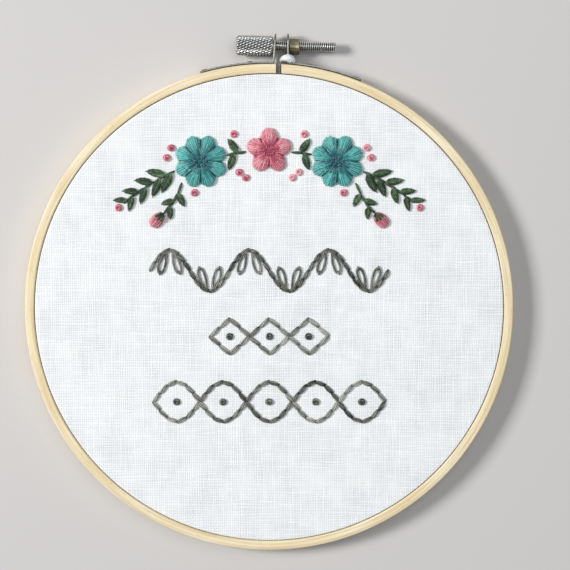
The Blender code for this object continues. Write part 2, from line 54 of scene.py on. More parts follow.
# Rings, read from the frame; what follows is measured from the hoop's centre
RING_LOW, RING_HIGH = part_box("outer_ring")
CENTRE = Vector((0, (RING_LOW.y + RING_HIGH.y) / 2, 0))
RING_OUTER_RADIUS = (RING_HIGH.x - RING_LOW.x) / 2
RING_HEIGHT = RING_HIGH.z
RING_WALL = 0.0035
RING_BORE_RADIUS = RING_OUTER_RADIUS - RING_WALL
RING_EDGE_ROUND = 0.0005
RING_STEPS = 288
INNER_RING_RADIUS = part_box("inner_ring")[1].x
INNER_RING_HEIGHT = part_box("inner_ring")[1].z
SPLIT_X = 0.0036
SPLIT_WIDTH = 0.0021

# Cloth
CLOTH_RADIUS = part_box("cloth")[1].x
CLOTH_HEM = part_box("cloth")[0].z
CLOTH_TOP = 0.0088
CLOTH_THICKNESS = 0.0010
CLOTH_EDGE_ROUND = 0.0004
CLOTH_STEPS = 288
CLOTH_ROWS = 92
PUCKER_DEPTH = 0.00016
PUCKER_REACH = 0.0024

# Fold of cloth that comes out through the split: x, y, z and radius at each section
FOLD_ROWS = (
    (0.0039, 0.0881, 0.0034, 0.00040),
    (0.0039, 0.0905, 0.0034, 0.00040),
    (0.0040, 0.0926, 0.0040, 0.00045),
    (0.0046, 0.0938, 0.0062, 0.00070),
    (0.0054, 0.0944, 0.0086, 0.00105),
    (0.0067, 0.0945, 0.0102, 0.00145),
    (0.0084, 0.0940, 0.0101, 0.00150),
    (0.0100, 0.0932, 0.0097, 0.00085),
)
FOLD_STEPS = 12
FOLD_SIDES = 40
# Gathers of the fold: where each lies round it, how far out, its width, its thickness and its last share
FOLD_GATHERS = (
    (math.radians(50), 0.62, 0.50, 0.30, 0.94),
    (math.radians(125), 0.64, 0.44, 0.28, 1.00),
    (math.radians(200), 0.60, 0.48, 0.28, 0.90),
    (math.radians(275), 0.64, 0.44, 0.30, 0.97),
    (math.radians(345), 0.60, 0.48, 0.28, 0.84),
    (0.0, 0.0, 0.52, 0.46, 0.92),
)
FOLD_TWIST = math.radians(110)

# Clamp brackets, each one strip bent up into a lug
METAL_THICKNESS = 0.0006
METAL_EDGE_ROUND = 0.00012
BRACKET_HALF_WIDTH = 0.0035
BRACKET_MIDDLE = RING_HEIGHT / 2
STRIP_RADIUS = RING_OUTER_RADIUS + 0.0003 + METAL_THICKNESS / 2
BEND_RADIUS = 0.0006
LUG_TOP = 0.1038
LEFT_LUG_X = 0.0022
LEFT_LUG_LEAN = math.radians(4)
LEFT_STRIP_END_X = -0.0258
LEFT_PIPS_X = (-0.0072, -0.0242)
RIGHT_LUG_X = 0.0071
RIGHT_STRIP_END_X = 0.0345
RIGHT_PIPS_X = (0.0150, 0.0329)
STRIP_CORNER = 0.0012
PIP_RADIUS = 0.0013
PIP_HEIGHT = 0.0005
PIP_STEPS = 6
PIP_SIDES = 24
HOLE_RADIUS = 0.00225
HOLE_SIDES = 40
DRILL_LENGTH = 0.0040

# Thumbscrew and nut, measured along the joint's axis from the joint's place
SCREW = frame["joints"][0]
HEAD_LEFT = -0.0172
HEAD_RIGHT = -0.0036
HEAD_RADIUS = 0.0038
HEAD_BEVEL = 0.0006
KNURL_DEPTH = 0.00050
KNURL_CROSSING = 0.45
KNURL_STARTS = 22
KNURL_PITCH = 0.0023
KNURL_SHARPNESS = 1.05
KNURL_ROWS = 72
SIDES_A_START = 8
COLLAR_RIGHT = -0.0034
COLLAR_RADIUS = 0.0026
COLLAR_ROUND = 0.0001
SEAT = 0.0002
SHANK_RIGHT = 0.0200
SHANK_RADIUS = 0.0019
THREAD_DEPTH = 0.00040
THREAD_PITCH = 0.00079
THREAD_BEVEL = 0.0005
THREAD_SIDES = 32
THREAD_ROWS = 360
NUT_MIDDLE = 0.0046
NUT_LENGTH = 0.0036
NUT_CORNER_RADIUS = 0.0034
NUT_TURN = math.radians(-20)
NUT_EDGE_ROUND = 0.00012

# Garland along an arch on the cloth
ARCH_RADIUS = 0.0860
ARCH_CREST_Y = 0.0600
MIDDLE_BLOSSOM_RADIUS = 0.0086
MIDDLE_BLOSSOM_PETALS = 5
MIDDLE_BLOSSOM_NOTCH = 0.30
MIDDLE_BLOSSOM_TURN = -math.pi / 10
SIDE_BLOSSOM_RADIUS = 0.0100
SIDE_BLOSSOM_PETALS = 8
SIDE_BLOSSOM_NOTCH = 0.16
SIDE_BLOSSOM_ALONG = 0.0260
BLOSSOM_HEIGHT = 0.0022
PETAL_THREAD_PITCH = 0.00052
SEED_RADIUS = 0.00105
GREY_WANDER = (0.62, 0.34, 0.2)
STEM_CLEARANCE = 0.0007
SPRIG_END_ALONG = 0.0590
SPRIG_LEAVES = 8
SPRIG_LEAF_SPACING = 0.0026
SPRIG_FIRST_LEAF = 0.6
SPRIG_LEAF_TURN = math.radians(38)
LEAF_LENGTH = 0.0085
LEAF_WIDTH = 0.0031
LEAF_SHRINK = 0.05
LEAF_HEIGHT = 0.0009
STEM_LEAF_LENGTH = 0.0066
STEM_LEAF_WIDTH = 0.0027
STEM_LEAF_TURN = math.radians(62)
STEM_LEAF_SHARES = (0.42, 0.58)
TENDRIL_ROWS = ((0.0359, -0.0053), (0.0395, -0.0083), (0.0436, -0.0106), (0.0484, -0.0118))
TENDRIL_LEAVES = ((0.30, -52, 0.0056, 0.0024), (0.52, 44, 0.0052, 0.0023), (0.74, -44, 0.0048, 0.0022))
BUD_LENGTH = 0.0068
BUD_WIDTH = 0.0046
BUD_HEIGHT = 0.0015
BUD_THREADS = 11
SEPAL_PLACES = (-0.62, 0.0, 0.62)

# Borders in grey stitches
WAVE_Y = 0.0150
WAVE_LENGTH = 0.0300
WAVE_COUNT = 3
WAVE_RISE = 0.0080
WAVE_LEAF_LENGTH = 0.0092
WAVE_LEAF_WIDTH = 0.0032
WAVE_LEAF_TURN = math.radians(17)
WAVE_LEAF_APART = 0.0012
WAVE_STITCH = 0.0038
DIAMOND_Y = -0.0100
DIAMOND_WIDTH = 0.0150
DIAMOND_COUNT = 3
DIAMOND_RISE = 0.0068
DIAMOND_STITCH = 0.0048
BRAID_Y = -0.0350
BRAID_EYE = 0.0176
BRAID_COUNT = 5
BRAID_RISE = 0.0078
BRAID_STITCH = 0.0042

# How a stitch lies: how far its ends go into the cloth and past the next stitch's, aside, and how much
# painted shade darkens its ends
STITCH_DIP = 0.0004
STITCH_END_TAPER = 0.30
STITCH_LENGTH = 0.0044
STITCH_OVERLAP = 0.00035
STITCH_SLANT = 0.00016
STITCH_END_SHADE = 0.60

# Floss: strands in a bundle laid out on an oval, with each strand's radius and the lay of the twist
FLOSS_COLUMNS = ("Strands", "Half Width", "Half Height", "Strand Radius", "Twist")
FLOSS_ROWS = {
    "line": (6, 0.00062, 0.00025, 0.00024, 360),
    "stem": (4, 0.00034, 0.00020, 0.00021, 520),
    "leaf": (2, 0.00018, 0.00006, 0.00019, 300),
    "petal": (2, 0.00016, 0.00006, 0.00017, 260),
    "loop": (4, 0.00032, 0.00022, 0.00020, 500),
    "knot": (3, 0.00020, 0.00020, 0.00020, 900),
}
FLOSS = {kind: dict(zip(FLOSS_COLUMNS, row)) for kind, row in FLOSS_ROWS.items()}

# Photograph's frame: the picture's width at the hoop's face, and where its middle falls
PICTURE_WIDTH = 0.21516
PICTURE_MIDDLE = Vector((0.0060, 0.00385, RING_HEIGHT))
CAMERA_DISTANCE = 0.600
CAMERA_TILT = math.radians(-5)
SENSOR_WIDTH = 36


# Node helpers
def add_node(tree, kind, inputs=None, **settings):
    """A node with its settings; an input is a value or another node's output, by name or number."""
    item = tree.nodes.new(kind)
    for name, value in settings.items():
        setattr(item, name, value)
    for key, value in (inputs or {}).items():
        if isinstance(value, bpy.types.NodeSocket):
            tree.links.new(value, item.inputs[key])
        else:
            item.inputs[key].default_value = value
    return item


def maths(tree, operation, *values):
    return add_node(tree, "ShaderNodeMath", dict(enumerate(values)), operation=operation).outputs[0]


def vectors(tree, operation, *values):
    item = add_node(tree, "ShaderNodeVectorMath", dict(enumerate(values)), operation=operation)
    return item.outputs["Vector"]


def scaled_by(tree, vector, amount):
    item = add_node(tree, "ShaderNodeVectorMath", {0: vector, "Scale": amount}, operation="SCALE")
    return item.outputs["Vector"]


def parts_of(tree, vector):
    return add_node(tree, "ShaderNodeSeparateXYZ", {0: vector}).outputs


def vector_of(tree, x, y, z=0.0):
    return add_node(tree, "ShaderNodeCombineXYZ", {0: x, 1: y, 2: z}).outputs[0]


def mapped(tree, value, low, high, to_low, to_high):
    """A value's range from low to high carried to another range, held at its ends."""
    inputs = {"Value": value, "From Min": low, "From Max": high, "To Min": to_low, "To Max": to_high}
    return add_node(tree, "ShaderNodeMapRange", inputs, clamp=True).outputs["Result"]


def noise(tree, vector, scale, detail=2.0):
    inputs = {"Vector": vector, "Scale": scale, "Detail": detail}
    return add_node(tree, "ShaderNodeTexNoise", inputs).outputs["Fac"]


def mixed(tree, factor, first, second):
    """One colour mixed into another."""
    inputs = {"Factor": factor, 6: first, 7: second}
    return add_node(tree, "ShaderNodeMix", inputs, data_type="RGBA").outputs[2]


def mask(tree, value, low, high):
    """0 below the range and 1 above it."""
    return mapped(tree, value, low, high, 0.0, 1.0)


def attribute(tree, name, output="Fac"):
    return add_node(tree, "ShaderNodeAttribute", attribute_name=name).outputs[output]


def stored(tree, geometry, name, value, data_type="FLOAT"):
    """Geometry with a value kept on its points under a name."""
    inputs = {"Geometry": geometry, "Name": name, "Value": value}
    kind = "GeometryNodeStoreNamedAttribute"
    return add_node(tree, kind, inputs, data_type=data_type, domain="POINT").outputs[0]


VALUE_SOCKETS = {float: "NodeSocketFloat", int: "NodeSocketInt"}


def new_group(name, kind, inputs, outputs):
    """A node group; an input has its value, or its kind of socket, and all outputs are of one kind."""
    tree = bpy.data.node_groups.new(name, kind)
    for label, value in inputs.items():
        socket_type = VALUE_SOCKETS.get(type(value), value)
        socket = tree.interface.new_socket(label, in_out="INPUT", socket_type=socket_type)
        if type(value) in VALUE_SOCKETS:
            socket.default_value = value
    socket_type = "NodeSocketGeometry" if kind == "GeometryNodeTree" else "NodeSocketFloat"
    for label in outputs:
        tree.interface.new_socket(label, in_out="OUTPUT", socket_type=socket_type)
    return tree, tree.nodes.new("NodeGroupInput").outputs, tree.nodes.new("NodeGroupOutput")


def finish_group(tree, target, results):
    for name, value in results.items():
        tree.links.new(value, target.inputs[name])
    return tree


def finish_shape(tree, target, geometry, material):
    """Ends a tree with its instances realized and its material set."""
    real = add_node(tree, "GeometryNodeRealizeInstances", {"Geometry": geometry}).outputs[0]
    inputs = {"Geometry": real, "Material": material}
    result = add_node(tree, "GeometryNodeSetMaterial", inputs).outputs[0]
    return finish_group(tree, target, {"Geometry": result})


# Effects that several materials share
def grain_group():
    """Bamboo's long fibres, its small dark dashes and its slow changes of tone, from a UV in metres."""
    inputs = {"Vector": "NodeSocketVector", "Fibre": 1250.0, "Dash": 1500.0}
    tree, given, target = new_group("bamboo_grain", "ShaderNodeTree", inputs, ["Fibres", "Dashes", "Tone"])
    u, v, _ = parts_of(tree, given["Vector"])

    def drawn_out(stretch, layer, scale, detail):
        """Noise drawn out along the ring, each layer apart from the others."""
        along = maths(tree, "MULTIPLY", u, stretch)
        return noise(tree, vector_of(tree, along, v, layer), scale, detail)

    fibres = drawn_out(stretch=0.030, layer=0.0, scale=given["Fibre"], detail=4.0)
    specks = drawn_out(stretch=0.22, layer=3.1, scale=given["Dash"], detail=1.0)
    slow = drawn_out(stretch=0.25, layer=7.7, scale=160.0, detail=2.0)
    dashes = mask(tree, specks, 0.66, 0.74)
    return finish_group(tree, target, {"Fibres": fibres, "Dashes": dashes, "Tone": slow})


# Plain weave: how its threads sway, dip under each other, swell, fray and lie close or loose
SWAY_ACROSS = 0.38
SWAY_ALONG = 0.05
DIP_SHARE = 0.42
SLUB_ALONG = 0.06
SLUB_SCALE = 1.3
SLUB_FULLNESS = (0.72, 1.15)
FRAY_SCALE = 5.0
FRAY_HEIGHT = 0.22
LOOSE_SCALE = 0.11
LOOSENESS = (0.35, 1.25)


def weave_group():
    """Plain weave from a UV in metres, with uneven threads and slubs; its Gap output marks the low places
    between the threads, where the cloth's material paints shade.
    """
    inputs = {"Vector": "NodeSocketVector", "Warp Pitch": 0.0008, "Weft Pitch": 0.0010, "Waver": 0.5}
    tree, given, target = new_group("plain_weave", "ShaderNodeTree", inputs, ["Height", "Gap", "Tone"])
    x, y, _ = parts_of(tree, given["Vector"])
    u = maths(tree, "DIVIDE", x, given["Warp Pitch"])
    v = maths(tree, "DIVIDE", y, given["Weft Pitch"])

    def stretched_noise(scale_u, scale_v, layer, scale=1.0, detail=2.0):
        wide = maths(tree, "MULTIPLY", u, scale_u)
        tall = maths(tree, "MULTIPLY", v, scale_v)
        return noise(tree, vector_of(tree, wide, tall, layer), scale, detail)

    sway_u = stretched_noise(SWAY_ACROSS, SWAY_ALONG, layer=0.0)
    sway_v = stretched_noise(SWAY_ALONG, SWAY_ACROSS, layer=5)
    u = maths(tree, "MULTIPLY_ADD", sway_u, given["Waver"], u)
    v = maths(tree, "MULTIPLY_ADD", sway_v, given["Waver"], v)
    column = maths(tree, "FLOOR", u)
    row = maths(tree, "FLOOR", v)

    def thread(across, number, along, turn):
        """How high one set of threads lies: each is round across and dips under the other set."""
        wave = maths(tree, "SINE", maths(tree, "MULTIPLY", maths(tree, "ADD", along, number), math.pi))
        lift = maths(tree, "MULTIPLY_ADD", wave, DIP_SHARE * turn, 1 - DIP_SHARE)
        round_form = maths(tree, "ABSOLUTE", maths(tree, "SINE", maths(tree, "MULTIPLY", across, math.pi)))
        place = vector_of(tree, number, maths(tree, "MULTIPLY", along, SLUB_ALONG), 9.0 * turn)
        slub = noise(tree, place, SLUB_SCALE)
        fullness = mapped(tree, slub, 0.3, 0.75, *SLUB_FULLNESS)
        return maths(tree, "MULTIPLY", maths(tree, "MULTIPLY", round_form, lift), fullness), slub

    warp, warp_slub = thread(u, column, v, 1)
    weft, weft_slub = thread(v, row, u, -1)
    fibres = stretched_noise(FRAY_SCALE, FRAY_SCALE, layer=2.0)
    height = maths(tree, "MULTIPLY_ADD", fibres, FRAY_HEIGHT, maths(tree, "MAXIMUM", warp, weft))
    loose = noise(tree, vector_of(tree, u, v, 4.0), LOOSE_SCALE, 3.0)
    looseness = mapped(tree, loose, 0.35, 0.65, *LOOSENESS)
    gap = maths(tree, "MULTIPLY", mapped(tree, height, 0.28, 0.85, 1.0, 0.0), looseness)
    tone = maths(tree, "ADD", warp_slub, weft_slub)
    return finish_group(tree, target, {"Height": height, "Gap": gap, "Tone": tone})


def ply_group():
    """The plies of a thread, from the place round it and the metres along it; Shade is 0 in the grooves
    between plies, where the thread's material paints shade.
    """
    inputs = {"Around": "NodeSocketVector", "Along": 0.0, "Plies": 2.0, "Lay": 0.0011}
    tree, given, target = new_group("thread_ply", "ShaderNodeTree", inputs, ["Height", "Shade"])
    across, up, _ = parts_of(tree, given["Around"])
    angle = maths(tree, "ARCTAN2", up, across)
    turns = maths(tree, "DIVIDE", maths(tree, "MULTIPLY", given["Along"], 2 * math.pi), given["Lay"])
    phase = maths(tree, "MULTIPLY", maths(tree, "MULTIPLY_ADD", angle, given["Plies"], turns), 0.5)
    height = maths(tree, "ABSOLUTE", maths(tree, "SINE", phase))
    return finish_group(tree, target, {"Height": height, "Shade": mask(tree, height, 0.0, 0.6)})


def wear_group():
    """Fine scratches and dull patches on plated metal, from object coordinates."""
    inputs = {"Vector": "NodeSocketVector", "Patch": 420.0, "Scratch": 9000.0}
    tree, given, target = new_group("handled_metal", "ShaderNodeTree", inputs, ["Dullness", "Scratches"])
    dullness = mask(tree, noise(tree, given["Vector"], given["Patch"], 4.0), 0.40, 0.75)
    stretched = vectors(tree, "MULTIPLY", given["Vector"], (0.12, 1.0, 1.0))
    scratches = noise(tree, stretched, given["Scratch"], 2.0)
    return finish_group(tree, target, {"Dullness": dullness, "Scratches": scratches})


GRAIN = grain_group()
WEAVE = weave_group()
PLY = ply_group()
WEAR = wear_group()


# Materials
def new_material(name, slot, **shader_values):
    """A material with its own Principled shader, whose fixed values are set on the shader's sockets."""
    material = bpy.data.materials.new(name)
    material.use_nodes = True
    material["slot"] = slot
    shader = material.node_tree.nodes["Principled BSDF"]
    for label, value in shader_values.items():
        shader.inputs[label.replace("_", " ")].default_value = value
    return material, material.node_tree, shader


def use_group(tree, group, inputs):
    return add_node(tree, "ShaderNodeGroup", inputs, node_tree=group).outputs


def set_bump(tree, shader, height, distance, strength=1.0):
    inputs = {"Height": height, "Distance": distance, "Strength": strength}
    tree.links.new(add_node(tree, "ShaderNodeBump", inputs).outputs["Normal"], shader.inputs["Normal"])


def uv_metres(tree):
    return add_node(tree, "ShaderNodeUVMap", uv_map=UV_NAME).outputs["UV"]


def make_bamboo():
    darker, lighter = (0.84, 0.718, 0.440, 1), (0.935, 0.848, 0.630, 1)
    fibre_brown, dash_brown = (0.72, 0.545, 0.300, 1), (0.50, 0.34, 0.17, 1)
    material, tree, shader = new_material("pale_bamboo", "bamboo", Coat_Weight=0.06, Coat_Roughness=0.35)
    found = use_group(tree, GRAIN, {"Vector": uv_metres(tree)})
    fibre = mask(tree, found["Fibres"], 0.38, 0.66)
    pale = mixed(tree, mask(tree, found["Tone"], 0.30, 0.70), darker, lighter)
    grained = mixed(tree, maths(tree, "MULTIPLY", fibre, 0.86), pale, fibre_brown)
    dashed = mixed(tree, maths(tree, "MULTIPLY", found["Dashes"], 0.45), grained, dash_brown)
    tree.links.new(dashed, shader.inputs["Base Color"])
    tree.links.new(mapped(tree, fibre, 0, 1, 0.42, 0.58), shader.inputs["Roughness"])
    set_bump(tree, shader, found["Fibres"], distance=0.00012, strength=0.5)
    return material


def make_cotton():
    greyer, whiter, painted_gap_shade = (0.88, 0.90, 0.915, 1), (0.96, 0.965, 0.97, 1), (0.52, 0.56, 0.59, 1)
    material, tree, shader = new_material("white_cotton", "cloth", Roughness=0.92, Sheen_Weight=0.12)
    sizes = {"Warp Pitch": 0.00078, "Weft Pitch": 0.00098, "Waver": 1.7}
    found = use_group(tree, WEAVE, {"Vector": uv_metres(tree), **sizes})
    thread_colour = mixed(tree, mask(tree, found["Tone"], 0.7, 1.35), greyer, whiter)
    # painted shade: the colour greys where the Gap mask finds the low places between threads
    colour = mixed(tree, maths(tree, "MULTIPLY", found["Gap"], 0.5), thread_colour, painted_gap_shade)
    tree.links.new(colour, shader.inputs["Base Color"])
    set_bump(tree, shader, found["Height"], distance=0.00016, strength=0.8)
    return material


def make_metal(name, slot, bright, dull, roughness_low, roughness_high):
    """Plated metal; where a piece has grooves, its hollow attribute darkens them with painted shade."""
    painted_groove_shade = (0.018, 0.019, 0.018, 1)
    material, tree, shader = new_material(name, slot, Metallic=1.0)
    place = add_node(tree, "ShaderNodeTexCoord").outputs["Object"]
    found = use_group(tree, WEAR, {"Vector": place})
    colour = mixed(tree, maths(tree, "MULTIPLY", found["Dullness"], 0.8), (*bright, 1), (*dull, 1))
    # painted shade: the colour goes near black down in the grooves, following the hollow attribute
    groove_shaded = mixed(tree, mask(tree, attribute(tree, "hollow"), 0.42, 0.85), colour, painted_groove_shade)
    tree.links.new(groove_shaded, shader.inputs["Base Color"])
    roughness = mapped(tree, found["Dullness"], 0, 1, roughness_low, roughness_high)
    tree.links.new(roughness, shader.inputs["Roughness"])
    set_bump(tree, shader, found["Scratches"], distance=0.00001, strength=0.35)
    return material


def make_thread(name, dark, middle, light):
    """A thread's material; the stitch's tone picks its shade of colour, each strand differs a little, and
    painted shade darkens the grooves between the plies.
    """
    material, tree, shader = new_material(
        name, name, Roughness=0.34, Sheen_Weight=0.15, Sheen_Roughness=0.35, Specular_IOR_Level=0.65
    )
    strand = mapped(tree, attribute(tree, "strand"), 0, 1, -0.24, 0.24)
    shifted = maths(tree, "ADD", attribute(tree, "tone"), strand)
    place = {"Around": attribute(tree, "ply", "Vector"), "Along": attribute(tree, "along")}
    found = use_group(tree, PLY, place)
    deep = mixed(tree, mask(tree, shifted, 0.0, 0.5), (*dark, 1), (*middle, 1))
    full = mixed(tree, mask(tree, shifted, 0.5, 1.0), deep, (*light, 1))
    # painted shade: the dark colour is mixed in down in the grooves between the plies
    between = mapped(tree, found["Shade"], 0, 1, 0.45, 0.0)
    tree.links.new(mixed(tree, between, full, (*dark, 1)), shader.inputs["Base Color"])
    set_bump(tree, shader, found["Height"], distance=0.00007, strength=0.8)
    return material


BAMBOO = make_bamboo()
COTTON = make_cotton()
STEEL = make_metal("plated_steel", "steel", (0.90, 0.90, 0.88), (0.66, 0.66, 0.64), 0.26, 0.40)
DULL_STEEL = make_metal("dull_steel", "steel", (0.33, 0.33, 0.295), (0.20, 0.20, 0.175), 0.34, 0.52)
BRASS = make_metal("aged_brass", "aged_brass", (0.52, 0.47, 0.31), (0.26, 0.23, 0.145), 0.24, 0.42)
TEAL = make_thread("teal_thread", (0.006, 0.062, 0.092), (0.040, 0.300, 0.295), (0.220, 0.720, 0.670))
ROSE = make_thread("rose_thread", (0.330, 0.030, 0.080), (0.680, 0.160, 0.225), (0.980, 0.520, 0.560))
GREEN = make_thread("green_thread", (0.007, 0.022, 0.008), (0.030, 0.080, 0.028), (0.150, 0.270, 0.110))
GREY = make_thread("grey_thread", (0.020, 0.021, 0.018), (0.185, 0.192, 0.162), (0.540, 0.545, 0.490))


# Geometry Nodes
def floss_tree():
    """Bundles of strands along lines of edges; the lines carry their own taper and tone."""
    inputs = {
        "Lines": "NodeSocketGeometry",
        "Padding": "NodeSocketObject",
        "Strands": 6,
        "Half Width": 0.0005,
        "Half Height": 0.0003,
        "Strand Radius": 0.0002,
        "Twist": 400.0,
        "Sides": 6,
        "Seed": 3,
        "Material": "NodeSocketMaterial",
    }
    tree, given, target = new_group("floss", "GeometryNodeTree", inputs, ["Geometry"])
    lines = add_node(tree, "GeometryNodeMeshToCurve", {"Mesh": given["Lines"]}).outputs[0]
    inputs = {"Geometry": lines, "Amount": given["Strands"]}
    copies = add_node(tree, "GeometryNodeDuplicateElements", inputs, domain="SPLINE").outputs
    inputs = {"Name": "taper"}
    taper = add_node(tree, "GeometryNodeInputNamedAttribute", inputs, data_type="FLOAT").outputs[0]
    length = add_node(tree, "GeometryNodeSplineParameter").outputs["Length"]
    curve_number = add_node(tree, "GeometryNodeCurveOfPoint").outputs["Curve Index"]
    inputs = {2: 0.0, 3: 1.0, "ID": curve_number, "Seed": given["Seed"]}
    chance = add_node(tree, "FunctionNodeRandomValue", inputs, data_type="FLOAT").outputs[1]
    tangent = add_node(tree, "GeometryNodeInputTangent").outputs[0]
    side = vectors(tree, "NORMALIZE", vectors(tree, "CROSS_PRODUCT", tangent, (0, 0, 1)))
    up = vectors(tree, "CROSS_PRODUCT", side, tangent)
    share = maths(tree, "DIVIDE", copies["Duplicate Index"], given["Strands"])
    jitter = maths(tree, "MULTIPLY_ADD", chance, 0.6, maths(tree, "MULTIPLY", length, given["Twist"]))
    angle = maths(tree, "MULTIPLY_ADD", share, 2 * math.pi, jitter)
    across = maths(tree, "MULTIPLY", maths(tree, "COSINE", angle), given["Half Width"])
    rise = maths(tree, "MULTIPLY", maths(tree, "SINE", angle), given["Half Height"])
    offset = vectors(tree, "ADD", scaled_by(tree, side, across), scaled_by(tree, up, rise))
    inputs = {"Geometry": copies["Geometry"], "Offset": scaled_by(tree, offset, taper)}
    strands = add_node(tree, "GeometryNodeSetPosition", inputs).outputs[0]
    strands = stored(tree, strands, "along", length)
    strands = stored(tree, strands, "strand", chance)
    inputs = {"Resolution": given["Sides"], "Radius": given["Strand Radius"]}
    circle = add_node(tree, "GeometryNodeCurvePrimitiveCircle", inputs).outputs["Curve"]
    place = add_node(tree, "GeometryNodeInputPosition").outputs[0]
    circle = stored(tree, circle, "ply", vectors(tree, "NORMALIZE", place), "FLOAT_VECTOR")
    inputs = {
        "Curve": strands,
        "Profile Curve": circle,
        "Scale": maths(tree, "SQRT", taper),
        "Fill Caps": True,
    }
    tubes = add_node(tree, "GeometryNodeCurveToMesh", inputs).outputs[0]
    padding = add_node(tree, "GeometryNodeObjectInfo", {"Object": given["Padding"]}).outputs["Geometry"]
    both = add_node(tree, "GeometryNodeJoinGeometry")
    tree.links.new(padding, both.inputs[0])
    tree.links.new(tubes, both.inputs[0])
    smooth = add_node(tree, "GeometryNodeSetShadeSmooth", {"Geometry": both.outputs[0]}).outputs[0]
    return finish_shape(tree, target, smooth, given["Material"])


def grooved_tree():
    """A bar with helical grooves: one family for a screw thread, two that cross for a knurl."""
    inputs = {
        "Length": 0.01,
        "Radius": 0.003,
        "Depth": 0.0003,
        "Starts": 1,
        "Pitch": 0.001,
        "Crossed": 0.0,
        "Sharpness": 1.0,
        "Bevel": 0.0004,
        "Sides": 48,
        "Rows": 100,
        "Material": "NodeSocketMaterial",
    }
    tree, given, target = new_group("grooved_bar", "GeometryNodeTree", inputs, ["Geometry"])
    inputs = {
        "Vertices": given["Sides"],
        "Side Segments": given["Rows"],
        "Radius": given["Radius"],
        "Depth": given["Length"],
    }
    bar = add_node(tree, "GeometryNodeMeshCylinder", inputs, fill_type="NGON").outputs["Mesh"]
    place = add_node(tree, "GeometryNodeInputPosition").outputs[0]
    x, y, z = parts_of(tree, place)
    turns = maths(tree, "DIVIDE", maths(tree, "ARCTAN2", y, x), 2 * math.pi)
    round_count = maths(tree, "MULTIPLY", turns, given["Starts"])
    climb = maths(tree, "DIVIDE", z, given["Pitch"])

    def crest(operation):
        """0 in a groove and 1 halfway between two."""
        phase = maths(tree, operation, round_count, climb)
        return maths(tree, "MULTIPLY", maths(tree, "PINGPONG", phase, 0.5), 2.0)

    plain = maths(tree, "SUBTRACT", 1.0, given["Crossed"])
    height = maths(tree, "MINIMUM", crest("ADD"), maths(tree, "MAXIMUM", crest("SUBTRACT"), plain))
    flat_topped = maths(tree, "MINIMUM", maths(tree, "MULTIPLY", height, given["Sharpness"]), 1.0)
    hollow = maths(tree, "SUBTRACT", 1.0, flat_topped)
    # hollow is 1 at the bottom of a groove; the metal materials paint shade there with it
    bar = stored(tree, bar, "hollow", hollow)
    groove = maths(tree, "MULTIPLY", hollow, given["Depth"])
    half = maths(tree, "DIVIDE", given["Length"], 2.0)
    to_end = maths(tree, "SUBTRACT", half, maths(tree, "ABSOLUTE", z))
    cut = maths(tree, "MAXIMUM", groove, maths(tree, "SUBTRACT", given["Bevel"], to_end))
    inward = maths(tree, "DIVIDE", maths(tree, "MULTIPLY", cut, -1.0), given["Radius"])
    offset = vectors(tree, "MULTIPLY", scaled_by(tree, place, inward), (1, 1, 0))
    cut_bar = add_node(tree, "GeometryNodeSetPosition", {"Geometry": bar, "Offset": offset}).outputs[0]
    return finish_shape(tree, target, cut_bar, given["Material"])


def joining_tree():
    """Two meshes in one, with their attributes kept."""
    inputs = {
        "Geometry": "NodeSocketGeometry",
        "Other": "NodeSocketObject",
        "Material": "NodeSocketMaterial",
    }
    tree, given, target = new_group("joined_parts", "GeometryNodeTree", inputs, ["Geometry"])
    both = add_node(tree, "GeometryNodeJoinGeometry")
    other = add_node(tree, "GeometryNodeObjectInfo", {"Object": given["Other"]}).outputs["Geometry"]
    tree.links.new(other, both.inputs[0])
    tree.links.new(given["Geometry"], both.inputs[0])
    return finish_shape(tree, target, both.outputs[0], given["Material"])


FLOSS_TREE = floss_tree()
GROOVED_TREE = grooved_tree()
JOINING_TREE = joining_tree()


# Object helpers
def mesh_from(name, shape):
    mesh = bpy.data.meshes.new(name)
    shape.to_mesh(mesh)
    shape.free()
    return mesh


def scratch_object(mesh):
    item = bpy.data.objects.new(mesh.name, mesh)
    bpy.context.scene.collection.objects.link(item)
    return item


def baked(item):
    """The object's shape with its modifiers, as a plain mesh; the object is removed."""
    bpy.context.view_layer.update()
    graph = bpy.context.evaluated_depsgraph_get()
    mesh = bpy.data.meshes.new_from_object(item.evaluated_get(graph))
    bpy.data.objects.remove(item, do_unlink=True)
    return mesh


def grown(mesh, tree, values):
    """A mesh put through a Geometry Nodes tree, its inputs set by their identifiers."""
    item = scratch_object(mesh)
    modifier = item.modifiers.new(tree.name, "NODES")
    modifier.node_group = tree
    for socket in tree.interface.items_tree:
        if socket.item_type == "SOCKET" and socket.in_out == "INPUT" and socket.name in values:
            modifier[socket.identifier] = values[socket.name]
    return baked(item)


def combined(first, second, operation):
    body = scratch_object(first)
    tool = scratch_object(second)
    boolean = body.modifiers.new("combine", "BOOLEAN")
    boolean.operation = operation
    boolean.object = tool
    mesh = baked(body)
    bpy.data.objects.remove(tool, do_unlink=True)
    return mesh


def joined(name, meshes):
    shape = bmesh.new()
    for mesh in meshes:
        shape.from_mesh(mesh)
    return mesh_from(name, shape)


def joined_parts(name, meshes, material):
    """Meshes in one, with the attributes kept that their material reads."""
    result = meshes[0]
    for mesh in meshes[1:]:
        other = scratch_object(mesh)
        result = grown(result, JOINING_TREE, {"Other": other, "Material": material})
        bpy.data.objects.remove(other, do_unlink=True)
    result.name = name
    return result


def add_piece(name, mesh, material, nodes, body="hoop", sharp=None):
    """A finished piece in its place; nodes are the CAD nodes that it stands for."""
    mesh.materials.clear()
    mesh.materials.append(material)
    mesh.shade_smooth()
    if sharp is not None:
        mesh.set_sharp_from_angle(angle=math.radians(sharp))
    piece = bpy.data.objects.new(name, mesh)
    bpy.context.scene.collection.objects.link(piece)
    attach(piece, body)
    if nodes:
        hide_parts(*nodes)
    return piece


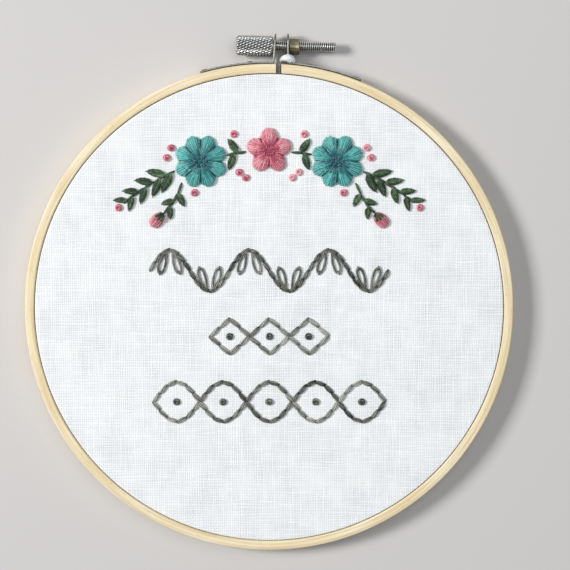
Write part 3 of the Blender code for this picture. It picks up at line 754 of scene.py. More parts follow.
def at_hoop(mesh):
    """A mesh made round the hoop's centre, moved to its place."""
    mesh.transform(Matrix.Translation(CENTRE))
    return mesh


def at_screw(mesh):
    """A mesh made along Z, laid on the screw's axis."""
    turn = Vector((0, 0, 1)).rotation_difference(Vector(SCREW["axis"])).to_matrix().to_4x4()
    mesh.transform(Matrix.Translation(Vector(SCREW["pos_m"])) @ turn)
    return mesh


# Shape helpers
def running_lengths(points):
    lengths = [0.0]
    for first, second in zip(points, points[1:]):
        lengths.append(lengths[-1] + (second - first).length)
    return lengths


def lofted(name, sections, ring=False):
    """A closed skin over a row of closed sections; its UV map holds metres along and around."""
    shape = bmesh.new()
    uv_map = shape.loops.layers.uv.new(UV_NAME)
    rows = [[shape.verts.new(point) for point in section] for section in sections]
    middles = [sum(section, Vector()) / len(section) for section in sections]
    along = running_lengths(middles + middles[:1])
    around = running_lengths([*sections[0], sections[0][0]])
    count = len(sections[0])
    pairs = list(zip(range(len(rows)), range(1, len(rows))))
    if ring:
        pairs.append((len(rows) - 1, 0))
    for low, high in pairs:
        for number in range(count):
            other = (number + 1) % count
            corners = (rows[low][number], rows[low][other], rows[high][other], rows[high][number])
            face = shape.faces.new(corners)
            spots = ((low, number), (low, number + 1), (low + 1, number + 1), (low + 1, number))
            for loop, (i, j) in zip(face.loops, spots):
                loop[uv_map].uv = (along[i], around[j])
    if not ring:
        for row, reverse in ((rows[0], True), (rows[-1], False)):
            face = shape.faces.new(list(reversed(row)) if reverse else row)
            for loop in face.loops:
                loop[uv_map].uv = (loop.vert.co.z * 0.1, loop.vert.co.y)
    bmesh.ops.recalc_face_normals(shape, faces=shape.faces)
    return mesh_from(name, shape)


def turned(name, profile, steps):
    """A profile of (radius, height, length from the middle) turned about Z, with poles where it closes."""
    shape = bmesh.new()
    uv_map = shape.loops.layers.uv.new(UV_NAME)
    turns = [2 * math.pi * step / steps for step in range(steps)]
    rows = []
    for radius, height, _ in profile:
        if radius == 0:
            rows.append([shape.verts.new((0, 0, height))] * steps)
        else:
            ring = [(radius * math.cos(a), radius * math.sin(a), height) for a in turns]
            rows.append([shape.verts.new(place) for place in ring])
    for low in range(len(profile) - 1):
        for number in range(steps):
            other = (number + 1) % steps
            spots = ((low, number), (low, other), (low + 1, other), (low + 1, number))
            spots = [spot for place, spot in enumerate(spots)
                     if rows[spot[0]][spot[1]] not in [rows[i][j] for i, j in spots[:place]]]
            face = shape.faces.new([rows[i][j] for i, j in spots])
            for loop, (i, j) in zip(face.loops, spots):
                reach = profile[i][2]
                loop[uv_map].uv = (reach * math.cos(turns[j]), reach * math.sin(turns[j]))
    bmesh.ops.recalc_face_normals(shape, faces=shape.faces)
    return mesh_from(name, shape)


def rounded_section(half_a, half_b, radius, steps=4):
    """Points of a rectangle with round corners, about zero."""
    points = []
    for corner, (sign_a, sign_b) in enumerate(((1, 1), (-1, 1), (-1, -1), (1, -1))):
        for step in range(steps + 1):
            angle = math.pi / 2 * (corner + step / steps)
            a = sign_a * (half_a - radius) + radius * math.cos(angle)
            b = sign_b * (half_b - radius) + radius * math.sin(angle)
            points.append((a, b))
    return points


def smooth_rows(rows, steps):
    """Rows of numbers with smooth steps put in between them (Catmull-Rom)."""
    padded = [rows[0], *rows, rows[-1]]
    result = []
    for before, start, end, after in zip(padded, padded[1:], padded[2:], padded[3:]):
        for step in range(steps):
            t = step / steps
            weights = (
                (-t + 2 * t**2 - t**3) / 2,
                (2 - 5 * t**2 + 3 * t**3) / 2,
                (t + 4 * t**2 - 3 * t**3) / 2,
                (-(t**2) + t**3) / 2,
            )
            columns = zip(before, start, end, after)
            result.append([sum(w * value for w, value in zip(weights, four)) for four in columns])
    result.append(list(rows[-1]))
    return result


# Hoop
def ring_point(radius, angle, height):
    """A place round the hoop's centre, the angle running clockwise from the clamp."""
    return Vector((radius * math.sin(angle), radius * math.cos(angle), height))


def make_outer_ring():
    """The outer ring from one cut face of its split round to the other."""
    section = rounded_section(RING_WALL / 2, RING_HEIGHT / 2, RING_EDGE_ROUND)
    middle = RING_BORE_RADIUS + RING_WALL / 2
    sections = []
    for step in range(RING_STEPS + 1):
        points = []
        for across, up in section:
            radius = middle + across
            start = math.asin((SPLIT_X + SPLIT_WIDTH / 2) / radius)
            end = 2 * math.pi + math.asin((SPLIT_X - SPLIT_WIDTH / 2) / radius)
            angle = start + (end - start) * step / RING_STEPS
            points.append(ring_point(radius, angle, RING_HEIGHT / 2 + up))
        sections.append(points)
    mesh = at_hoop(lofted("outer_hoop", sections))
    add_piece("outer_hoop", mesh, BAMBOO, ["outer_ring"], sharp=50)


def make_inner_ring():
    section = rounded_section(RING_WALL / 2, INNER_RING_HEIGHT / 2, RING_EDGE_ROUND)
    middle = INNER_RING_RADIUS - RING_WALL / 2
    angles = [2 * math.pi * step / RING_STEPS for step in range(RING_STEPS)]
    sections = [
        [ring_point(middle + across, angle, INNER_RING_HEIGHT / 2 + up) for across, up in section]
        for angle in angles
    ]
    mesh = at_hoop(lofted("inner_hoop", sections, ring=True))
    add_piece("inner_hoop", mesh, BAMBOO, ["inner_ring"], sharp=50)


# Cloth
def cloth_relief(spot, holes):
    """How far the cloth's face stands off flat: slack ripples near the rim, dips beside the stitches."""
    rim_reach, ripple_height, ripples = 0.010, 0.00007, 41
    slack_height, slack_x, slack_y = 0.00010, 61, 47
    flat_edge, fade_width = 0.0015, 0.004
    reach = spot.length
    angle = math.atan2(spot.y, spot.x)
    rim = math.exp(-((CLOTH_RADIUS - reach) / rim_reach))
    ripple = ripple_height * rim * math.sin(ripples * angle + 2 * math.sin(3 * angle))
    slack = slack_height * math.sin(spot.x * slack_x + 1.3) * math.sin(spot.y * slack_y + 0.4)
    near = holes.find((spot.x, spot.y, 0))[2]
    dip = -PUCKER_DEPTH * math.exp(-((near / PUCKER_REACH) ** 2))
    fade = min(1.0, max(0.0, (CLOTH_RADIUS - flat_edge - reach) / fade_width))
    return (ripple + slack + dip) * fade


def make_cloth(stitch_holes):
    """The face, its rounded edge, the part turned down between the rings, and the underside."""
    holes = kdtree.KDTree(len(stitch_holes))
    for number, spot in enumerate(stitch_holes):
        holes.insert((spot.x, spot.y, 0), number)
    holes.balance()
    round_steps = 4
    skirt_steps = 6
    flat_radius = CLOTH_RADIUS - CLOTH_EDGE_ROUND
    inner_radius = CLOTH_RADIUS - CLOTH_THICKNESS
    underside = CLOTH_TOP - CLOTH_THICKNESS
    shares = [row / CLOTH_ROWS for row in range(CLOTH_ROWS + 1)]
    profile = [(flat_radius * share, CLOTH_TOP, flat_radius * share) for share in shares]
    for step in range(1, round_steps + 1):
        angle = math.pi / 2 * step / round_steps
        radius = flat_radius + CLOTH_EDGE_ROUND * math.sin(angle)
        height = CLOTH_TOP - CLOTH_EDGE_ROUND * (1 - math.cos(angle))
        profile.append((radius, height, flat_radius + CLOTH_EDGE_ROUND * angle))
    skirt = CLOTH_TOP - CLOTH_EDGE_ROUND - CLOTH_HEM
    edge = profile[-1][2]
    for step in range(1, skirt_steps + 1):
        down = skirt * step / skirt_steps
        profile.append((CLOTH_RADIUS, CLOTH_TOP - CLOTH_EDGE_ROUND - down, edge + down))
    profile += [(inner_radius, CLOTH_HEM, edge + skirt), (inner_radius, underside, edge)]
    profile += [(inner_radius * share, underside, inner_radius * share) for share in shares[-2::-1]]
    mesh = turned("cloth_sheet", profile, CLOTH_STEPS)
    for vert in mesh.vertices:
        if vert.co.z >= underside - 1e-6:
            vert.co.z += cloth_relief(vert.co.xy, holes)
    return add_piece("cloth_sheet", at_hoop(mesh), COTTON, ["cloth"], sharp=60)


def make_fold():
    """The gathered end of cloth: flat gathers twisted round one core, that swell as they come out."""
    rows = smooth_rows(FOLD_ROWS, FOLD_STEPS)
    places = [Vector(row[:3]) for row in rows]
    gathers = []
    for turn, off, wide, thick, last in FOLD_GATHERS:
        sections = []
        for number in range(round((len(places) - 1) * last) + 1):
            following = places[min(number + 1, len(places) - 1)]
            ahead = (following - places[max(number - 1, 0)]).normalized()
            side = ahead.cross(Vector((0, 1, 0.4))).normalized()
            up = side.cross(ahead)
            share = number / (len(places) - 1)
            close = min(1.0, math.sqrt(max(last - share, 0.0) / 0.07) + 0.25)
            angle = turn + FOLD_TWIST * share + 0.25 * math.sin(19 * share + turn)
            outward = side * math.cos(angle) + up * math.sin(angle)
            across = ahead.cross(outward)
            radius = rows[number][3]
            middle = places[number] + outward * radius * off
            points = []
            for step in range(FOLD_SIDES):
                spin = 2 * math.pi * step / FOLD_SIDES
                crimp = 1 + 0.10 * math.sin(3 * spin + 24 * share + turn)
                crimp += 0.07 * math.sin(43 * share + 2 * spin)
                reach = radius * close * crimp
                points.append(middle + across * (reach * wide * math.cos(spin))
                              + outward * (reach * thick * math.sin(spin)))
            sections.append(points)
        gathers.append(lofted("gather", sections))
    mesh = joined("cloth_fold", gathers)
    return add_piece("cloth_fold", at_hoop(mesh), COTTON, [], sharp=70)


# Clamp
def clamp_path(lug_x, lean, end_x):
    """The bracket's midline: round the ring, through the bend and up the lug, as (place, outward)."""
    strip_steps, bend_steps, lug_steps = 36, 8, 30
    side = math.copysign(1, lug_x - end_x)
    axis_y = SCREW["pos_m"][1] - CENTRE.y
    foot_x = lug_x - (axis_y - STRIP_RADIUS) * math.tan(lean)
    start = math.asin(end_x / STRIP_RADIUS)
    finish = math.asin((foot_x - side * BEND_RADIUS) / STRIP_RADIUS)
    path = []
    for step in range(strip_steps + 1):
        angle = start + (finish - start) * step / strip_steps
        outward = Vector((math.sin(angle), math.cos(angle), 0))
        path.append((outward * STRIP_RADIUS, outward))
    last, outward = path[-1]
    along = Vector((outward.y, -outward.x, 0)) * side
    turn = math.pi / 2 - side * lean - math.asin(outward.x) * -side
    for step in range(1, bend_steps + 1):
        angle = turn * step / bend_steps
        heading = along * math.cos(angle) + outward * math.sin(angle)
        normal = outward * math.cos(angle) - along * math.sin(angle)
        place = last + along * BEND_RADIUS * math.sin(angle)
        path.append((place + outward * BEND_RADIUS * (1 - math.cos(angle)), normal))
    foot, normal = path[-1]
    rest = (LUG_TOP - foot.y) / heading.y
    for step in range(1, lug_steps + 1):
        share = 1 - (1 - step / lug_steps) ** 2
        path.append((foot + heading * rest * share, normal))
    return path


def drill(radius, length, sides):
    """A round bar along Z, for cutting a hole or as a blank."""
    shape = bmesh.new()
    bmesh.ops.create_cone(
        shape, cap_ends=True, segments=sides, radius1=radius, radius2=radius, depth=length
    )
    return mesh_from("drill", shape)


def rivet_head(x):
    """A low dome on the strip's outer face."""
    angles = [math.pi / 2 * step / PIP_STEPS for step in range(PIP_STEPS + 1)]
    profile = [(PIP_RADIUS * math.sin(a), PIP_HEIGHT * math.cos(a), 0.0) for a in angles]
    profile += [(PIP_RADIUS, -METAL_THICKNESS / 2, 0.0), (0, -METAL_THICKNESS / 2, 0.0)]
    pip = turned("pip", profile, PIP_SIDES)
    pip.transform(Matrix.Rotation(-math.pi / 2, 4, "X"))
    pip.transform(Matrix.Translation((0, STRIP_RADIUS + METAL_THICKNESS / 2, BRACKET_MIDDLE)))
    pip.transform(Matrix.Rotation(-math.asin(x / STRIP_RADIUS), 4, "Z"))
    return at_hoop(pip)


def make_bracket(name, lug_x, lean, end_x, pips_x):
    """One bent strip with round ends, its screw hole cut, and its two rivet heads."""
    path = clamp_path(lug_x, lean, end_x)
    lengths = running_lengths([place for place, _ in path])
    sections = []
    for (place, outward), length in zip(path, lengths):
        half = BRACKET_HALF_WIDTH
        for distance, corner in ((lengths[-1] - length, BRACKET_HALF_WIDTH), (length, STRIP_CORNER)):
            if distance < corner:
                inset = corner - math.sqrt(max(corner**2 - (corner - distance) ** 2, 0))
                half = min(half, BRACKET_HALF_WIDTH - inset)
        half = max(half, METAL_EDGE_ROUND * 2)
        sections.append([
            place + outward * a + Vector((0, 0, BRACKET_MIDDLE + b))
            for a, b in rounded_section(METAL_THICKNESS / 2, half, METAL_EDGE_ROUND, 3)
        ])
    mesh = at_hoop(lofted(name, sections))
    hole = drill(HOLE_RADIUS, DRILL_LENGTH, HOLE_SIDES)
    hole.transform(Matrix.Translation((0, 0, lug_x - SCREW["pos_m"][0])))
    mesh = combined(mesh, at_screw(hole), "DIFFERENCE")
    pieces = [mesh, *(rivet_head(x) for x in pips_x)]
    add_piece(f"clamp_{name}", joined(name, pieces), DULL_STEEL, [name], sharp=35)


def grooved_bar(start, end, **values):
    """Part of the screw between two places on its axis, its grooves given as the tree's inputs."""
    values = {label.title(): value for label, value in values.items()}
    values |= {"Length": end - start, "Material": STEEL}
    mesh = grown(bpy.data.meshes.new("bar"), GROOVED_TREE, values)
    mesh.transform(Matrix.Translation((0, 0, (start + end) / 2)))
    return mesh


def make_screw():
    head = grooved_bar(
        HEAD_LEFT, HEAD_RIGHT, radius=HEAD_RADIUS, depth=KNURL_DEPTH, starts=KNURL_STARTS,
        pitch=KNURL_PITCH, crossed=KNURL_CROSSING, sharpness=KNURL_SHARPNESS, bevel=HEAD_BEVEL,
        sides=KNURL_STARTS * SIDES_A_START, rows=KNURL_ROWS,
    )
    shank = grooved_bar(
        COLLAR_RIGHT - SEAT, SHANK_RIGHT, radius=SHANK_RADIUS, depth=THREAD_DEPTH, starts=1,
        pitch=THREAD_PITCH, crossed=0.0, sharpness=1.0, bevel=THREAD_BEVEL,
        sides=THREAD_SIDES, rows=THREAD_ROWS,
    )
    collar = turned("collar", (
        (0, COLLAR_RIGHT, 0),
        (COLLAR_RADIUS - COLLAR_ROUND, COLLAR_RIGHT, 0),
        (COLLAR_RADIUS, COLLAR_RIGHT - COLLAR_ROUND, 0),
        (COLLAR_RADIUS, HEAD_RIGHT - SEAT, 0),
        (0, HEAD_RIGHT - SEAT, 0),
    ), 48)
    mesh = at_screw(joined_parts("thumb_screw", [head, shank, collar], STEEL))
    add_piece("clamp_screw", mesh, STEEL, ["thumb_screw"], body="thumb_screw", sharp=28)


def make_nut():
    """A hexagon whose corners are turned off at both ends, with a bore."""
    half = NUT_LENGTH / 2
    low_radius = NUT_CORNER_RADIUS * 0.87
    wide = NUT_CORNER_RADIUS * 1.6
    drop = (wide - low_radius) * 0.5
    bore_radius = HOLE_RADIUS * 0.9
    profile = (
        (0, half, 0), (low_radius, half, 0), (wide, half - drop, 0),
        (wide, drop - half, 0), (low_radius, -half, 0), (0, -half, 0),
    )
    prism = drill(NUT_CORNER_RADIUS, NUT_LENGTH, 6)
    mesh = combined(prism, turned("turning", profile, 72), "INTERSECT")
    mesh = combined(mesh, drill(bore_radius, 2 * NUT_LENGTH, HOLE_SIDES), "DIFFERENCE")
    item = scratch_object(mesh)
    bevel = item.modifiers.new("edges", "BEVEL")
    bevel.width = NUT_EDGE_ROUND
    bevel.segments = 2
    bevel.limit_method = "ANGLE"
    bevel.angle_limit = math.radians(35)
    mesh = baked(item)
    mesh.transform(Matrix.Translation((0, 0, NUT_MIDDLE)) @ Matrix.Rotation(NUT_TURN, 4, "Z"))
    add_piece("clamp_nut", at_screw(mesh), BRASS, ["nut"], sharp=30)


# Thread work
def lines_mesh(name, lines):
    """Edges along each line of (place, taper, tone) rows, with the taper and tone as attributes."""
    rows = [row for line in lines for row in line]
    edges = []
    first = 0
    for line in lines:
        edges += [(first + step, first + step + 1) for step in range(len(line) - 1)]
        first += len(line)
    mesh = bpy.data.meshes.new(name)
    mesh.from_pydata([row[0] for row in rows], edges, [])
    for column, label in ((1, "taper"), (2, "tone")):
        attribute = mesh.attributes.new(label, "FLOAT", "POINT")
        attribute.data.foreach_set("value", [row[column] for row in rows])
    return mesh


def floss_mesh(name, lines, kind, material, padding=None, sides=6):
    """Threads along the lines, over the padding where there is any."""
    values = {**FLOSS[kind], "Sides": sides, "Material": material}
    pad = None
    if padding is not None:
        pad = scratch_object(padding)
        values["Padding"] = pad
    mesh = grown(lines_mesh(name, lines), FLOSS_TREE, values)
    if pad is not None:
        bpy.data.objects.remove(pad, do_unlink=True)
    return mesh


def bundle_height(kind):
    return FLOSS[kind]["Half Height"] + FLOSS[kind]["Strand Radius"]


def stitch(start, end, tone, kind, steps=8):
    """One straight stitch between two holes, as rows of place, taper and tone."""
    rows = []
    top = bundle_height(kind) * 0.9
    ahead = (end - start).normalized()
    aside = Vector((-ahead.y, ahead.x)) * STITCH_SLANT
    for step in range(steps + 1):
        t = step / steps
        to_end = abs(2 * t - 1)
        spot = start.lerp(end, t) + aside * (2 * t - 1)
        height = CLOTH_TOP - STITCH_DIP + (STITCH_DIP + top) * (1 - to_end**5)
        taper = STITCH_END_TAPER + (1 - STITCH_END_TAPER) * (1 - to_end**2.6)
        # painted shade: the tone darkens towards both ends, where the thread goes down into the cloth
        rows.append((Vector((spot.x, spot.y, height)), taper, tone - STITCH_END_SHADE * to_end**3))
    return rows


def place_on(points, lengths, distance):
    """The place at a distance along a line of points."""
    for number in range(len(points) - 1):
        if lengths[number + 1] >= distance:
            share = (distance - lengths[number]) / (lengths[number + 1] - lengths[number])
            return points[number].lerp(points[number + 1], share)
    return points[-1].copy()


def stitch_ends(points, target=STITCH_LENGTH):
    """Holes spread evenly along a line, about a stitch's length apart."""
    lengths = running_lengths(points)
    count = max(1, round(lengths[-1] / target))
    return [place_on(points, lengths, lengths[-1] * step / count) for step in range(count + 1)]


def backstitches(holes, kind, tones):
    """A stitch between each hole and the next, its ends beside those of its neighbours."""
    lines = []
    for start, end in zip(holes, holes[1:]):
        overlap = (end - start).normalized() * STITCH_OVERLAP
        lines.append(stitch(start - overlap, end + overlap, next(tones), kind))
    return lines


def wandering_tones(middle, spread, step=0.09):
    """Tones that drift from stitch to stitch, as in thread dyed in several shades."""
    level = middle
    while True:
        level += CHANCE.uniform(-step, step) + (middle - level) * 0.12
        level = min(max(level, middle - spread), middle + spread)
        yield level + CHANCE.uniform(-0.05, 0.05)


def between(pair, share):
    return pair[0] + (pair[1] - pair[0]) * share


def arch_point(along, off=0.0):
    """A place measured along the arch from its crest, and off it outwards."""
    angle = along / ARCH_RADIUS
    reach = ARCH_RADIUS + off
    return Vector((reach * math.sin(angle), ARCH_CREST_Y - ARCH_RADIUS + reach * math.cos(angle)))


def dome_mesh(name, domes):
    """Low domes on the cloth, nearly flat underneath: each is (centre, heading, length, width, height)."""
    shape = bmesh.new()
    for centre, heading, length, width, height in domes:
        made = bmesh.ops.create_uvsphere(shape, u_segments=20, v_segments=8, radius=1)["verts"]
        for vert in made:
            vert.co.z = max(vert.co.z, vert.co.z * 0.1)
        matrix = (
            Matrix.Translation((centre.x, centre.y, CLOTH_TOP))
            @ Matrix.Rotation(heading, 4, "Z")
            @ Matrix.Diagonal((length / 2, width / 2, height, 1))
        )
        bmesh.ops.transform(shape, matrix=matrix, verts=made)
    return mesh_from(name, shape)


def leaf_half_width(share, width):
    return width / 2 * math.sin(math.pi * share**0.85) ** 0.75


def leaf_threads(base, heading, length, width, tones):
    """Slanting stitches from the midline out to both edges, and one along the tip."""
    ahead = Vector((math.cos(heading), math.sin(heading)))
    across = Vector((-ahead.y, ahead.x))
    count = max(6, round(length / 0.00062))
    slant = 0.26
    lines = []
    for number in range(count):
        for side in (1, -1):
            share = (number + (0.25 if side > 0 else 0.75)) / count * (1 - slant)
            edge_share = share + slant * (0.9 - 0.35 * share)
            reach = leaf_half_width(edge_share, width) * CHANCE.uniform(0.94, 1.06)
            tone = next(tones) + (0.10 if side > 0 else -0.10) + CHANCE.uniform(-0.12, 0.12)
            rows = []
            for step in range(7):
                t = step / 6
                a = length * (share + (edge_share - share) * t)
                b = side * (-0.00018 + (reach + 0.00018) * t)
                rise = LEAF_HEIGHT * (1 - t**2.4) ** 0.6 if t < 1 else 0.0
                bow = 0.00022 * math.sin(math.pi * t)
                spot = base + ahead * a + across * b
                dip = -0.0003 if step == 6 else 0.0
                height = CLOTH_TOP + bundle_height("leaf") * 0.7 + rise * 0.62 + bow + dip
                rows.append((Vector((spot.x, spot.y, height)), 1.0 if 0 < step < 6 else 0.6, tone))
            lines.append(rows)
    tip = stitch(base + ahead * length * 0.70, base + ahead * length, next(tones), "leaf")
    lines.append([(place + Vector((0, 0, 0.0003)), taper, tone) for place, taper, tone in tip])
    return lines


def sprig_piece(name, side, stem_rows, leaves, sepals=False):
    """A stem of back stitches with leaves given as (share, turn, length, width)."""
    rows = smooth_rows(stem_rows, 8)
    places = [arch_point(side * along, off) for along, off in rows]
    tones = wandering_tones(0.45, 0.3)
    threads = []
    domes = []
    holes = []
    for share, turn, length, width in leaves:
        spot = share * (len(places) - 1)
        step = min(int(spot), len(places) - 2)
        base = places[step].lerp(places[step + 1], spot - step)
        forward = places[step + 1] - places[step]
        heading = math.atan2(forward.y, forward.x) + side * turn
        threads += leaf_threads(base, heading, length, width, tones)
        ahead = Vector((math.cos(heading), math.sin(heading)))
        middle = base + ahead * length * 0.52
        domes.append((middle, heading, length * 0.84, width * 0.80, LEAF_HEIGHT * 0.62))
        holes += [base, base + ahead * length]
    ends = stitch_ends(places)
    stem = backstitches(ends, "stem", tones)
    ahead = (places[-1] - places[-2]).normalized()
    for place in SEPAL_PLACES if sepals else ():
        base = places[-1] + ahead * STEM_CLEARANCE * 0.5
        reach = 0.46 - 0.10 * abs(place)
        stem.append(bud_thread(base, ahead, (0.0, reach), (place * 0.5, place), "leaf", (0.30, 0.55), 3.2))
    leaf_part = floss_mesh(f"{name}_leaves", threads, "leaf", GREEN, dome_mesh("leaf_padding", domes), 5)
    stem_part = floss_mesh(f"{name}_stem", stem, "stem", GREEN)
    piece = joined_parts(f"{name}_stitches", [leaf_part, stem_part], GREEN)
    add_piece(f"{name}_stitches", at_hoop(piece), GREEN, [name])
    return places, holes + ends


def blossom_surface(radius, petals, notch, share, angle):
    """A place on the padded blossom: share is 0 at its middle and 1 at its rim."""
    valley = abs(math.cos(petals * angle / 2)) ** 3
    lobe = 1 - notch * valley * share**2
    hollow = 1 - 0.35 * math.exp(-((share / 0.3) ** 2))
    height = BLOSSOM_HEIGHT * hollow * (1 - 0.5 * valley * share) * math.sqrt(max(1 - share**2, 0))
    reach = radius * share * lobe
    return Vector((reach * math.cos(angle), reach * math.sin(angle), CLOTH_TOP + height))


def blossom_padding(radius, petals, notch, shrink=0.95):
    """The dome under a blossom's threads."""
    shape = bmesh.new()
    bmesh.ops.create_uvsphere(shape, u_segments=petals * 10, v_segments=20, radius=1)
    for vert in shape.verts:
        share = math.hypot(vert.co.x, vert.co.y)
        angle = math.atan2(vert.co.y, vert.co.x)
        spot = blossom_surface(radius * shrink, petals, notch, share, angle)
        if vert.co.z < 0:
            spot.z = CLOTH_TOP - 0.0001 * math.sqrt(max(1 - share**2, 0))
        vert.co = spot
    return mesh_from("blossom_padding", shape)


def petal_thread(radius, petals, notch, angles, shares, tones):
    """One thread laid over the padding; tones are those of the blossom's middle and of its rim."""
    rows = []
    steps = 8
    lift = CHANCE.uniform(0.6, 1.4)
    for step in range(steps + 1):
        t = step / steps
        angle = between(angles, t)
        share = shares[0] + (shares[1] - shares[0]) * math.sin(math.pi / 2 * t)
        spot = blossom_surface(radius, petals, notch, min(share, 1.0), angle)
        rise = bundle_height("petal") * (0.1 if step in (0, steps) else lift)
        tone = between(tones, share)
        rows.append((spot + Vector((0, 0, rise)), 0.6 if step in (0, steps) else 1.0, tone))
    return rows


def knot_thread(centre, base, radius, tone):
    """A French knot: a thread wound twice round and taken down through its own middle."""
    rows = []
    bundle = bundle_height("knot")
    turns = 2.25
    steps = round(turns * 16)
    phase = CHANCE.uniform(0, 2 * math.pi)
    for step in range(steps + 1):
        t = step / steps
        angle = phase + 2 * math.pi * turns * t
        reach = (radius - bundle) * (1.0 - 0.62 * t**2)
        height = base + bundle * (0.7 + 1.25 * t)
        spot = centre + Vector((math.cos(angle), math.sin(angle))) * reach
        shade = tone + 0.30 * math.sin(angle * 1.5) - 0.20 * t
        rows.append((Vector((spot.x, spot.y, height)), 1.0 if step else 0.7, shade))
    last = rows[-1][0]
    # painted shade: the thread darkens as it goes down through the knot's middle
    for t in (0.4, 0.75, 1.0):
        spot = last.xy.lerp(centre, t)
        height = last.z + bundle * (0.25 - 2.1 * t**2)
        rows.append((Vector((spot.x, spot.y, height)), 1.0 - 0.3 * t, tone - 0.6 * t))
    return rows


def make_blossom(name, centre, radius, petals, notch, turn, material):
    """Long and short stitches fanned over each petal, a dark inner ring and knots in the middle."""
    lines = []
    span = 2 * math.pi / petals
    outer_count = round(2 * math.pi * radius / petals / PETAL_THREAD_PITCH)
    inner_count = round(outer_count * 0.55)
    shades = wandering_tones(0.0, 0.10, 0.14)
    for petal in range(petals):
        middle = span * (petal + 0.5)
        for number in range(outer_count):
            place = (number + 0.5) / outer_count - 0.5
            angles = (middle + place * span * 0.86, middle + place * span * 0.97)
            near = (0.40 if number % 2 else 0.54) + CHANCE.uniform(-0.05, 0.05)
            shares = (near, 1.0 + CHANCE.uniform(-0.03, 0.02))
            shade = next(shades) + (0.18 if number % 2 else -0.18) - 0.8 * abs(place) ** 1.6
            tones = (-0.12 + shade, 1.06 + shade)
            lines.append(petal_thread(radius, petals, notch, angles, shares, tones))
        for number in range(inner_count):
            place = (number + 0.5) / inner_count - 0.5
            angle = middle + place * span * 0.95
            near = 0.16 + CHANCE.uniform(-0.02, 0.02)
            shares = (near, (0.66 if number % 2 else 0.50) + CHANCE.uniform(-0.05, 0.05))
            shade = next(shades) + (0.10 if number % 2 else -0.10)
            tones = (-0.12 + shade, 1.00 + shade)
            lines.append(petal_thread(radius, petals, notch, (angle, angle), shares, tones))
    petals_part = floss_mesh(name, lines, "petal", material, blossom_padding(radius, petals, notch), 5)
    seeds = []
    ring_radius = radius * 0.17
    spots = [Vector((0, 0))]
    spots += [Vector((math.cos(a), math.sin(a))) * ring_radius for a in [math.pi / 3 * k for k in range(6)]]
    base = CLOTH_TOP + BLOSSOM_HEIGHT * 0.66
    for spot in spots:
        seeds.append(knot_thread(spot, base, SEED_RADIUS, 0.06 + CHANCE.uniform(0, 0.16)))
    seeds_part = floss_mesh(f"{name}_seeds", seeds, "knot", material, sides=5)
    mesh = joined_parts(f"{name}_stitches", [petals_part, seeds_part], material)
    mesh.transform(Matrix.Translation((centre.x, centre.y, 0)) @ Matrix.Rotation(turn, 4, "Z"))
    add_piece(f"{name}_stitches", at_hoop(mesh), material, [name])
    rim = [centre + Vector((math.cos(a), math.sin(a))) * radius for a in [span * k for k in range(petals)]]
    return rim + [centre]


def bud_place(start, ahead, along, place):
    """A place on the bud: how far along it, and how far across from -1 to 1."""
    across = Vector((-ahead.y, ahead.x))
    wide = BUD_WIDTH / 2 * place * math.sin(math.pi * (0.12 + 0.70 * along)) ** 0.8
    dome = math.sqrt(max(1 - (2 * along - 1) ** 2, 0)) * math.sqrt(max(1 - place**2, 0))
    spot = start + ahead * BUD_LENGTH * (0.02 + 0.96 * along) + across * wide
    return Vector((spot.x, spot.y, CLOTH_TOP + BUD_HEIGHT * dome))


def bud_thread(start, ahead, shares, places, kind, tones, lift=1.0):
    """One thread over the bud, between two shares of its length and two places across it."""
    rows = []
    for step in range(9):
        t = step / 8
        inside = 0 < step < 8
        spot = bud_place(start, ahead, between(shares, t), between(places, t))
        rise = bundle_height(kind) * (0.7 * lift if inside else -0.6 + lift * 0.4)
        rows.append((spot + Vector((0, 0, rise)), 1.0 if inside else 0.6, between(tones, t)))
    return rows


def make_bud(word, start, ahead):
    """Satin stitches from the stem's end over a padded bud; its sepals are part of the stem's piece."""
    name = f"bud_{word}"
    heading = math.atan2(ahead.y, ahead.x)
    lines = []
    for number in range(BUD_THREADS):
        place = 2 * (number + 0.5) / BUD_THREADS - 1
        shade = (0.24 if number % 2 else -0.20) + CHANCE.uniform(-0.08, 0.08)
        end = 1 - 0.10 * abs(place) + CHANCE.uniform(-0.03, 0.0)
        tones = (0.35 + shade, 0.68 + shade)
        lines.append(bud_thread(start, ahead, (0.0, end), (place, place), "petal", tones))
    pad = dome_mesh("bud_padding", [
        (start + ahead * BUD_LENGTH / 2, heading, BUD_LENGTH * 0.92, BUD_WIDTH * 0.9, BUD_HEIGHT * 0.95)
    ])
    mesh = floss_mesh(name, lines, "petal", ROSE, pad, 5)
    add_piece(f"{name}_stitches", at_hoop(mesh), ROSE, [name])
    return [start, start + ahead * BUD_LENGTH]


def make_knots(name, nodes, material, tones):
    """French knots where the frame has them, as one piece."""
    lines = []
    holes = []
    for node in nodes:
        low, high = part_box(node)
        centre = ((low + high) / 2 - CENTRE).xy
        lines.append(knot_thread(centre, CLOTH_TOP, (high.x - low.x) / 2, next(tones)))
        holes.append(centre)
    mesh = floss_mesh(name, lines, "knot", material)
    add_piece(name, at_hoop(mesh), material, nodes)
    return holes


